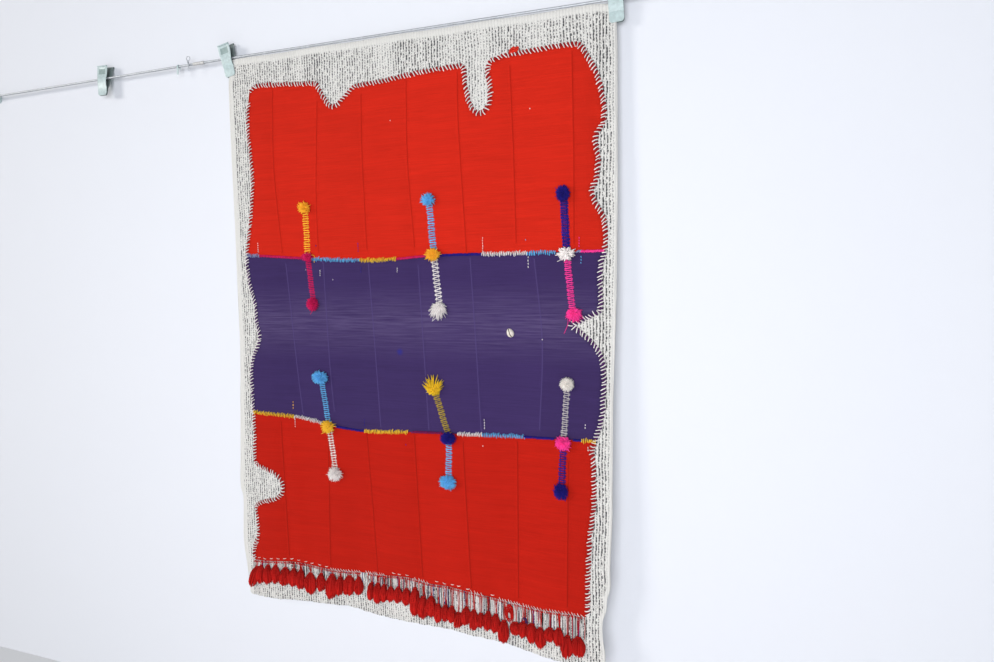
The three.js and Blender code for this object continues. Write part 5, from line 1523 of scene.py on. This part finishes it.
def coil_spring(name, place):
    """The clip's spring: close turns round the wire, with a leg up inside each leaf."""
    radius = (SPRING.outer - SPRING.inner) / 2
    middle = (SPRING.outer + SPRING.inner) / 2
    turn = np.linspace(0, SPRING.turns * TURN, SPRING.turns * 20 + 1)
    reach = SPRING.length / 2 - radius
    along = np.linspace(-reach, reach, len(turn))
    coil = np.column_stack([along, -middle * np.cos(turn), middle * np.sin(turn)])
    first = [(-reach, -middle - 1.2, -14), (-reach, -middle - 0.6, -7), (-reach, -middle - 0.1, -2.4)]
    last = [(reach, -middle - 0.1, 2.4), (reach, -middle - 0.6, 7), (reach, -middle - 1.4, 14)]
    path = np.vstack([first, coil, last]) * MM
    path = np.array([place @ Vector(point) for point in path])
    return metal_rod(name, path, radius, steel("spring"), sides=8)


def make_clip(row):
    """One spring clip of two leaves and a coil."""
    place = clip_place(row)
    for side, facing in (("front", 1), ("back", -1)):
        leaf = bend_leaf("sprung_%s_%s_leaf" % (row.name, side), facing, row)
        leaf.data.transform(place)
        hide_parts("%s_%s_leaf" % (row.name, side))
    coil = coil_spring("wound_%s_spring" % row.name, place)
    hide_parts(row.name + "_spring")


def twist_wire():
    """The hanging wire: six strands laid round a core, with a slight dip at the right clip."""
    line = resample(WIRE_ROWS, STRANDS.lay / 8)
    across, height = line.T[:, :, None]
    around = np.linspace(0, TURN, STRANDS.around, endpoint=False)
    ridges = np.abs(np.cos(STRANDS.number / 2 * (around - TURN * across / STRANDS.lay)))
    radius = WIRE_RADIUS * (1 - STRANDS.depth + STRANDS.depth * ridges)
    out, up = radius * np.cos(around), radius * np.sin(around)
    points = np.stack([across - HANGING_X + 0 * out, -WIRE_FROM_WALL - out, height - up], axis=-1)
    corners = np.arange(len(line) * STRANDS.around).reshape(len(line), -1)
    following = np.roll(corners, -1, axis=1)
    sides = np.stack([corners[:-1], corners[1:], following[1:], following[:-1]], axis=-1).reshape(-1, 4)
    faces = sides.tolist() + [corners[0].tolist(), corners[-1][::-1].tolist()]
    piece = new_piece("twisted_hanging_wire", points.reshape(-1, 3), faces, steel("wire"))
    make_outward(piece)
    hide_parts("hanging_wire")


def make_outward(piece):
    """Turns the piece's faces to point out."""
    mesh = bmesh.new()
    mesh.from_mesh(piece.data)
    bmesh.ops.recalc_face_normals(mesh, faces=mesh.faces)
    mesh.to_mesh(piece.data)
    mesh.free()


def crimp_sleeve(name, x, z, length, outer, material, crimps, node, taper=0.06):
    """A sleeve crimped on the wire: a tube with soft ends and pressed grooves."""
    pick()
    bpy.ops.mesh.primitive_cylinder_add(
        vertices=32, radius=outer * MM, depth=length * MM, end_fill_type="NOTHING",
        location=(x * MM, -WIRE_FROM_WALL * MM, z * MM), rotation=(0, math.pi / 2, 0))
    piece = bpy.context.object
    bpy.ops.object.mode_set(mode="EDIT")
    bpy.ops.mesh.select_all(action="SELECT")
    bpy.ops.mesh.subdivide(number_cuts=1)
    bpy.ops.object.mode_set(mode="OBJECT")
    bpy.ops.object.transform_apply(location=True, rotation=True, scale=True)
    mesh = bmesh.new()
    mesh.from_mesh(piece.data)
    for cut in np.linspace(-0.48, 0.48, 25):
        everything = mesh.verts[:] + mesh.edges[:] + mesh.faces[:]
        place = ((x + cut * length) * MM, 0, 0)
        bmesh.ops.bisect_plane(mesh, geom=everything, plane_co=place, plane_no=(1, 0, 0))
    for vert in mesh.verts:
        share = (vert.co.x / MM - x) / length
        groove = 0.08 * max(0.0, math.cos(TURN * crimps * (share + 0.5))) ** 4 if abs(share) < 0.42 else 0.0
        end = 0.10 * max(0.0, (abs(share) - 0.5 + taper) / taper) ** 2
        shrink = 1 - groove - end
        vert.co.y = -WIRE_FROM_WALL * MM + (vert.co.y + WIRE_FROM_WALL * MM) * shrink
        vert.co.z = z * MM + (vert.co.z - z * MM) * shrink
    mesh.to_mesh(piece.data)
    mesh.free()
    modify(piece, "SOLIDIFY", thickness=(outer - BORE_RADIUS) * 0.8 * MM, offset=-1)
    apply_all(piece)
    finish_hard(piece, name, material, node)


def bend_strap():
    """The strap hook: a narrow steel strap bent over the wire."""
    radius = BORE_RADIUS + STRAP_HOOK.sheet / 2
    section = [(-radius, -STRAP_HOOK.leg)] + [(-radius, z) for z in np.linspace(-STRAP_HOOK.leg + 2, 0, 5)]
    bend = np.linspace(0, math.pi, 15)[1:]
    section += [(-radius * math.cos(turn), radius * math.sin(turn)) for turn in bend]
    section += [(radius, -STRAP_HOOK.back_leg / 2), (radius, -STRAP_HOOK.back_leg)]
    piece, points = flat_blank(2, len(section))
    z = float(wire_height(STRAP_HOOK.x))
    for vert, share, number in points:
        out, up = section[number]
        x = STRAP_HOOK.x + share * STRAP_HOOK.width
        vert.co = Vector(to_frame((x, -WIRE_FROM_WALL + out, z + up)))
    modify(piece, "SOLIDIFY", thickness=STRAP_HOOK.sheet * MM, offset=0)
    modify(piece, "BEVEL", width=SOFT_EDGE * MM, segments=2)
    apply_all(piece)
    finish_hard(piece, "bent_strap_hook", steel("coated"), "strap_hook")


def bend_loop_hook():
    """The loop hook: one wire bent into a ring above the line, round it and down in two crossing legs."""
    ring, wire = LOOP_HOOK.ring, LOOP_HOOK.wire
    front = -BORE_RADIUS - wire
    turn = np.linspace(-0.42 * math.pi, 1.42 * math.pi, 30)
    loop = [(ring * math.cos(t), front - 0.8 * (t > 2), LOOP_HOOK.rise + ring * math.sin(t)) for t in turn]
    first = [(-3.5, front, -LOOP_HOOK.tail), (-2.0, front - 0.3, -8), (0.0, front - 0.2, 3), (1.8, front, 9)]
    last = [(-1.4, front - 1.6, 9), (0.6, front - 3.0, 3), (2.6, front - 3.0, -6), (4.0, front - 2.6, -15)]
    z = float(wire_height(LOOP_HOOK.x))
    path = resample(curve(np.array(first + loop + last), 4), 1.1)
    path = to_frame(path + [LOOP_HOOK.x, -WIRE_FROM_WALL, z])
    piece = metal_rod("bent_loop_hook", path, wire * 0.9, steel("wire"))
    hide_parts("loop_hook")


def turn_plate(side, x, z):
    """A wall plate: a round foot with a soft edge, and a post that the wire's end meets."""
    pick()
    bpy.ops.mesh.primitive_cylinder_add(
        vertices=64, radius=PLATE.radius * MM, depth=PLATE.thickness * MM,
        location=(x * MM, -PLATE.thickness / 2 * MM, z * MM), rotation=(math.pi / 2, 0, 0))
    piece = bpy.context.object
    bpy.ops.object.transform_apply(location=True, rotation=True, scale=True)
    front = -(PLATE.thickness - 0.1) * MM
    bpy.ops.object.mode_set(mode="EDIT")
    pick_faces(piece, lambda face: face.calc_center_median().y < front)
    bpy.ops.mesh.inset(thickness=(PLATE.radius - PLATE.post - PLATE.flare) * MM)
    bpy.ops.mesh.inset(thickness=PLATE.flare * MM, depth=PLATE.step * MM)
    post = PLATE.post_length - PLATE.thickness - 3.0
    bpy.ops.mesh.extrude_region_move(TRANSFORM_OT_translate={"value": (0, -post * MM, 0)})
    bpy.ops.mesh.inset(thickness=PLATE.tip * MM, depth=PLATE.tip * MM)
    bpy.ops.object.mode_set(mode="OBJECT")
    modify(piece, "BEVEL", width=2 * SOFT_EDGE * MM, segments=3, limit_method="ANGLE")
    apply_all(piece)
    finish_hard(piece, "turned_wall_plate_" + side, steel("coated"), "wall_plate_" + side)


def carve_cowrie():
    """The cowrie: a polished egg with a toothed slit down its face."""
    pick()
    bpy.ops.mesh.primitive_uv_sphere_add(segments=96, ring_count=64, radius=0.5)
    piece = bpy.context.object
    half_depth = COWRIE.rise * (1 - COWRIE.sunk)
    slit = []
    for vert in piece.data.vertices:
        u, out, v = vert.co.x * 2, -vert.co.y * 2, vert.co.z * 2
        gap = abs(u - 0.10 * math.sin(3.0 * v)) * COWRIE.width / 2
        teeth = math.cos(v * COWRIE.teeth)
        near = max(0.0, 1 - max(0.0, gap - 0.35 * teeth) / COWRIE.slit) if out > 0 and abs(v) < 0.93 else 0.0
        groove = float(ease(near))
        lips = 0.8 * math.exp(-((gap - 3.4) / 1.6) ** 2) + 0.22 * teeth * math.exp(-(gap / 5.0) ** 2)
        taper = 1 - 0.12 * v
        depth = half_depth * out - 3.0 * groove + (lips if out > 0 else 0.0)
        vert.co = Vector((u * taper * COWRIE.width / 2, -depth, v * COWRIE.height / 2))
        slit.append(groove)
    # How deep in the slit each point lies, for the painted shade there
    point_values(piece, "slit", slit)
    tilt = Matrix.Rotation(math.radians(COWRIE.degrees), 4, "Y")
    foot = on_cloth(COWRIE.x, COWRIE.z, BAND_FRONT + COWRIE.rise * COWRIE.sunk + 0.6)
    piece.data.transform(Matrix.Scale(MM, 4) @ Matrix.Translation(foot + [HANGING_X, 0, 0]) @ tilt)
    finish_hard(piece, "polished_cowrie_shell", shell_material(), "cowrie_shell", 80)


# The camera where the photograph was taken, in frame millimetres and degrees
CAMERA = SimpleNamespace(x=2513.3, y=-1633.4, z=-714.35, yaw=-18.32, pitch=-4.83, roll=-0.91,
                         focal=600, width=994, sensor=36)
FLOOR_Z = -2227
ROOM = SimpleNamespace(width=9000, height=6000, behind=0.6, floor="#E9EAEC", wall="#E1E3E8", sky="#EEF3FC")
# Lights: place, aim and size, and the setting that gives the power
CLOTH_MIDDLE = (HANGING_X, -30, -880)
LIGHTS = table("name place aim size setting code", [
    ("key_light", (HANGING_X - 6400, -4900, 900), CLOTH_MIDDLE, 2000, "key_power", "#FFFBF5"),
    ("room_light", (HANGING_X + 600, -3300, -700), (HANGING_X + 600, 0, -700), 2400, "room_power",
     "#F8FAFF"),
    ("back_light", (HANGING_X - 600, 3000, 700), CLOTH_MIDDLE, 2600, "back_power", "#FFFFFF"),
])


def set_camera():
    """The camera, at the photograph's place and angle."""
    yaw, pitch, roll = (math.radians(angle) for angle in (CAMERA.yaw, CAMERA.pitch, CAMERA.roll))
    forward = Vector((math.sin(yaw) * math.cos(pitch), math.cos(yaw) * math.cos(pitch), math.sin(pitch)))
    level = Vector((math.cos(yaw), -math.sin(yaw), 0))
    above = level.cross(forward)
    right = math.cos(roll) * level + math.sin(roll) * above
    up = math.cos(roll) * above - math.sin(roll) * level
    data = bpy.data.cameras.new("camera")
    data.sensor_width = CAMERA.sensor
    data.lens = CAMERA.focal / CAMERA.width * CAMERA.sensor
    data.clip_end = 50
    camera = bpy.data.objects.new("camera", data)
    turn = Matrix((right, up, -forward)).transposed().to_4x4()
    camera.matrix_world = Matrix.Translation(Vector((CAMERA.x, CAMERA.y, CAMERA.z)) * MM) @ turn
    bpy.context.scene.collection.objects.link(camera)
    bpy.context.scene.camera = camera


def plain_plane(name, corners, code, one_sided):
    """A plain painted surface of the stage: matt, with faint clouds about 0.8 m wide."""
    mesh = bpy.data.meshes.new(name)
    mesh.from_pydata([Vector(corner) * MM for corner in corners], [], [[0, 1, 2, 3]])
    plane = bpy.data.objects.new(name, mesh)
    bpy.context.scene.collection.objects.link(plane)
    material, tree = new_material(name + "_matt_paint")
    place = add(tree, "TexCoord").outputs["Object"]
    clouds = add(tree, "TexNoise", {"Vector": place, "Scale": 1.3, "Detail": 1.0}).outputs["Fac"]
    tone = add(tree, "MapRange", [clouds, 0.0, 1.0, 0.985, 1.0])
    colour = add(tree, "VectorMath SCALE", {0: hex_colour(code), 3: tone})
    paint = add(tree, "BsdfPrincipled", {"Base Color": colour, "Roughness": 0.9})
    surface = paint
    if one_sided:
        # The wall shows only from the room, so that the hanging's back can be looked at
        back = add(tree, "NewGeometry").outputs["Backfacing"]
        clear = add(tree, "BsdfTransparent")
        surface = add(tree, "MixShader", [back, paint, clear])
    add(tree, "OutputMaterial", {"Surface": surface})
    mesh.materials.append(material)
    return plane


def set_light(row, power):
    """A square soft light at its place, turned to its aim."""
    data = bpy.data.lights.new(row.name, "AREA")
    data.size = row.size * MM
    data.energy = power
    data.color = hex_colour(row.code)
    light = bpy.data.objects.new(row.name, data)
    light.location = Vector(row.place) * MM
    light.rotation_euler = (Vector(row.aim) - Vector(row.place)).to_track_quat("-Z", "Y").to_euler()
    bpy.context.scene.collection.objects.link(light)


def set_stage():
    """A pale floor and wall, a large soft light from the upper left, and a pale sky all round."""
    sizes = bpy.context.scene.hanging_stage
    left, right = HANGING_X - ROOM.width / 2, HANGING_X + ROOM.width / 2
    near, far, top = -ROOM.height, ROOM.height, FLOOR_Z + ROOM.height
    plain_plane("floor", [(left, near, FLOOR_Z), (right, near, FLOOR_Z), (right, far, FLOOR_Z),
                          (left, far, FLOOR_Z)], ROOM.floor, False)
    behind = ROOM.behind
    wall = plain_plane("wall", [(left, behind, FLOOR_Z), (right, behind, FLOOR_Z), (right, behind, top),
                                (left, behind, top)], ROOM.wall, True)
    wall.visible_diffuse = wall.visible_glossy = wall.visible_shadow = False
    for row in LIGHTS:
        set_light(row, getattr(sizes, row.setting))
    world = bpy.data.worlds.new("pale_room")
    world.use_nodes = True
    background = world.node_tree.nodes["Background"]
    background.inputs["Color"].default_value = rgba(hex_colour(ROOM.sky))
    background.inputs["Strength"].default_value = sizes.room_glow
    bpy.context.scene.world = world
    bpy.context.scene.view_settings.view_transform = "Standard"
    set_camera()


def length_property(name, description, millimetres):
    """A length that a user may change, in the scene's metres."""
    return FloatProperty(name=name, description=description, default=millimetres * MM, min=0.0,
                         subtype="DISTANCE", unit="LENGTH", precision=5)


def colour_property(name, description, code):
    """A colour that a user may change."""
    return FloatVectorProperty(name=name, description=description, default=hex_colour(code), size=3,
                               min=0.0, max=1.0, subtype="COLOR")


class HANGING_cloth_settings(bpy.types.PropertyGroup):
    """Sizes of the woven cloth."""
    ground_spacing: length_property("Ground net", "Distance between the points of the ground cloth", 11)
    band_spacing: length_property("Band net", "Distance between the points of a band", 8.5)
    swell: length_property("Strip swell", "How far a strip stands out between its joins", 2.0)
    join_rise: length_property("Join rise", "How far the joins between strips stand out", 1.1)


class HANGING_colour_settings(bpy.types.PropertyGroup):
    """Colours of the woven cloth."""
    ground: colour_property("Ground", "Cream wool of the ground cloth", "#E0DED8")
    speckle: colour_property("Speckle", "Dark goat hair of the ground cloth", "#2E2E33")
    red: colour_property("Red", "Wool of the upper band", "#CB2616")
    red_join: colour_property("Red joins", "Joins between the upper band's strips", "#A81B0D")
    purple: colour_property("Purple", "Wool of the middle band", "#3D2E5B")
    purple_join: colour_property("Purple joins", "Joins between the purple band's strips", "#514374")
    deep_red: colour_property("Deep red", "Wool of the lower band", "#B81D10")
    deep_red_join: colour_property("Deep red joins", "Joins between the lower band's strips", "#94170B")


class HANGING_stage_settings(bpy.types.PropertyGroup):
    """Strength of the stage's lights."""
    key_power: FloatProperty(
        name="Key light", description="Power from the upper left", default=234, unit="POWER")
    room_power: FloatProperty(
        name="Room light", description="Power from the front", default=92, unit="POWER")
    back_power: FloatProperty(name="Back light", description="Power from behind", default=50, unit="POWER")
    room_glow: FloatProperty(name="Room glow", description="Strength of the pale sky", default=0.31, min=0)


class HANGING_OT_ground(bpy.types.Operator):
    """Weaves the speckled ground cloth on its folds"""
    bl_idname = "hanging.ground"
    bl_label = "Ground cloth"

    def execute(self, context):
        weave_ground()
        return {"FINISHED"}


class HANGING_OT_bands(bpy.types.Operator):
    """Weaves the three wool bands and lays them on the ground"""
    bl_idname = "hanging.bands"
    bl_label = "Wool bands"

    def execute(self, context):
        for look in BAND_LOOKS:
            weave_band(look)
        return {"FINISHED"}


class HANGING_OT_sewing(bpy.types.Operator):
    """Sews the bands down: overcast and running stitches, seam wool and tacking"""
    bl_idname = "hanging.sewing"
    bl_label = "Sewing"

    def execute(self, context):
        sew_edges()
        sew_seam("upper", UPPER_SEAM_LINE)
        sew_seam("lower", LOWER_SEAM_LINE)
        sew_tacking()
        return {"FINISHED"}


class HANGING_OT_pompoms(bpy.types.Operator):
    """Ties the eighteen pompoms of cut wool, with their loose ends"""
    bl_idname = "hanging.pompoms"
    bl_label = "Pompoms"

    def execute(self, context):
        for seed, row in enumerate(POMPOMS.values()):
            tie_pompom(row, 100 + seed)
        tie_extra_tails()
        return {"FINISHED"}


class HANGING_OT_bars(bpy.types.Operator):
    """Wraps the twelve ladder bars between the pompoms"""
    bl_idname = "hanging.bars"
    bl_label = "Ladder bars"

    def execute(self, context):
        for seed, row in enumerate(BARS):
            wrap_bar(row, 200 + seed)
        return {"FINISHED"}


class HANGING_OT_fringe(bpy.types.Operator):
    """Ties the tassels along the lower edge, with the warp ends above them"""
    bl_idname = "hanging.fringe"
    bl_label = "Tassel fringe"

    def execute(self, context):
        for seed, side in enumerate(TASSELS):
            tie_fringe(side, 250 + seed)
        hang_warp_ends()
        pile_threads()
        return {"FINISHED"}


class HANGING_OT_trinkets(bpy.types.Operator):
    """Sews on the cowrie shell and the tuft of red thread"""
    bl_idname = "hanging.trinkets"
    bl_label = "Shell and tuft"

    def execute(self, context):
        carve_cowrie()
        knot_tuft()
        return {"FINISHED"}


class HANGING_OT_clips(bpy.types.Operator):
    """Bends the three spring clips"""
    bl_idname = "hanging.clips"
    bl_label = "Clips"

    def execute(self, context):
        for row in CLIPS:
            make_clip(row)
        return {"FINISHED"}


class HANGING_OT_wire(bpy.types.Operator):
    """Twists the wire, with its sleeves, hooks and wall plates"""
    bl_idname = "hanging.wire"
    bl_label = "Wire and fittings"

    def execute(self, context):
        twist_wire()
        crimp_sleeve(
            "crimped_splice_sleeve", HANGING_X + SPLICE.x, float(wire_height(SPLICE.x)), SPLICE.length,
            SPLICE.outer, steel("sleeve"), 3, "wire_splice_sleeve", 0.3)
        bend_strap()
        bend_loop_hook()
        for row in WIRE_ENDS:
            x, z = (float(place) for place in WIRE_ROWS[row.end])
            x += row.inward * (FERRULE.from_post + FERRULE.length / 2)
            crimp_sleeve("crimped_ferrule_" + row.side, x, z, FERRULE.length, FERRULE.outer,
                         steel("spring"), 2, "wire_ferrule_" + row.side)
            turn_plate(row.side, row.plate, z)
        return {"FINISHED"}


class HANGING_OT_stage(bpy.types.Operator):
    """Sets the pale wall and floor, the soft lights and the camera"""
    bl_idname = "hanging.stage"
    bl_label = "Stage"

    def execute(self, context):
        set_stage()
        return {"FINISHED"}


OPERATORS = (HANGING_OT_ground, HANGING_OT_bands, HANGING_OT_sewing, HANGING_OT_pompoms, HANGING_OT_bars,
             HANGING_OT_fringe, HANGING_OT_trinkets, HANGING_OT_clips, HANGING_OT_wire, HANGING_OT_stage)
SETTINGS = {"hanging_cloth": HANGING_cloth_settings, "hanging_colours": HANGING_colour_settings,
            "hanging_stage": HANGING_stage_settings}


class HANGING_PT_panel(bpy.types.Panel):
    """Lists the hanging's settings and the steps that make it"""
    bl_label = "Wall hanging"
    bl_idname = "HANGING_PT_panel"
    bl_space_type = "VIEW_3D"
    bl_region_type = "UI"
    bl_category = "Hanging"

    def draw(self, context):
        for name, settings in SETTINGS.items():
            box = self.layout.box()
            for prop in settings.__annotations__:
                box.prop(getattr(context.scene, name), prop)
        for operator in OPERATORS:
            self.layout.operator(operator.bl_idname)


def register():
    """Registers the settings, the operators and the panel."""
    for settings in SETTINGS.values():
        bpy.utils.register_class(settings)
    for cls in (*OPERATORS, HANGING_PT_panel):
        bpy.utils.register_class(cls)
    for name, settings in SETTINGS.items():
        setattr(bpy.types.Scene, name, PointerProperty(type=settings))


def unregister():
    """Takes out all that register put in."""
    for name in SETTINGS:
        delattr(bpy.types.Scene, name)
    for cls in (HANGING_PT_panel, *reversed(OPERATORS), *reversed(list(SETTINGS.values()))):
        bpy.utils.unregister_class(cls)


def main():
    """Builds the hanging in order."""
    register()
    bpy.ops.hanging.ground()
    bpy.ops.hanging.bands()
    bpy.ops.hanging.sewing()
    bpy.ops.hanging.pompoms()
    bpy.ops.hanging.bars()
    bpy.ops.hanging.fringe()
    bpy.ops.hanging.trinkets()
    bpy.ops.hanging.clips()
    bpy.ops.hanging.wire()
    bpy.ops.hanging.stage()
    bpy.context.view_layer.update()


if __name__ == "__main__":
    main()
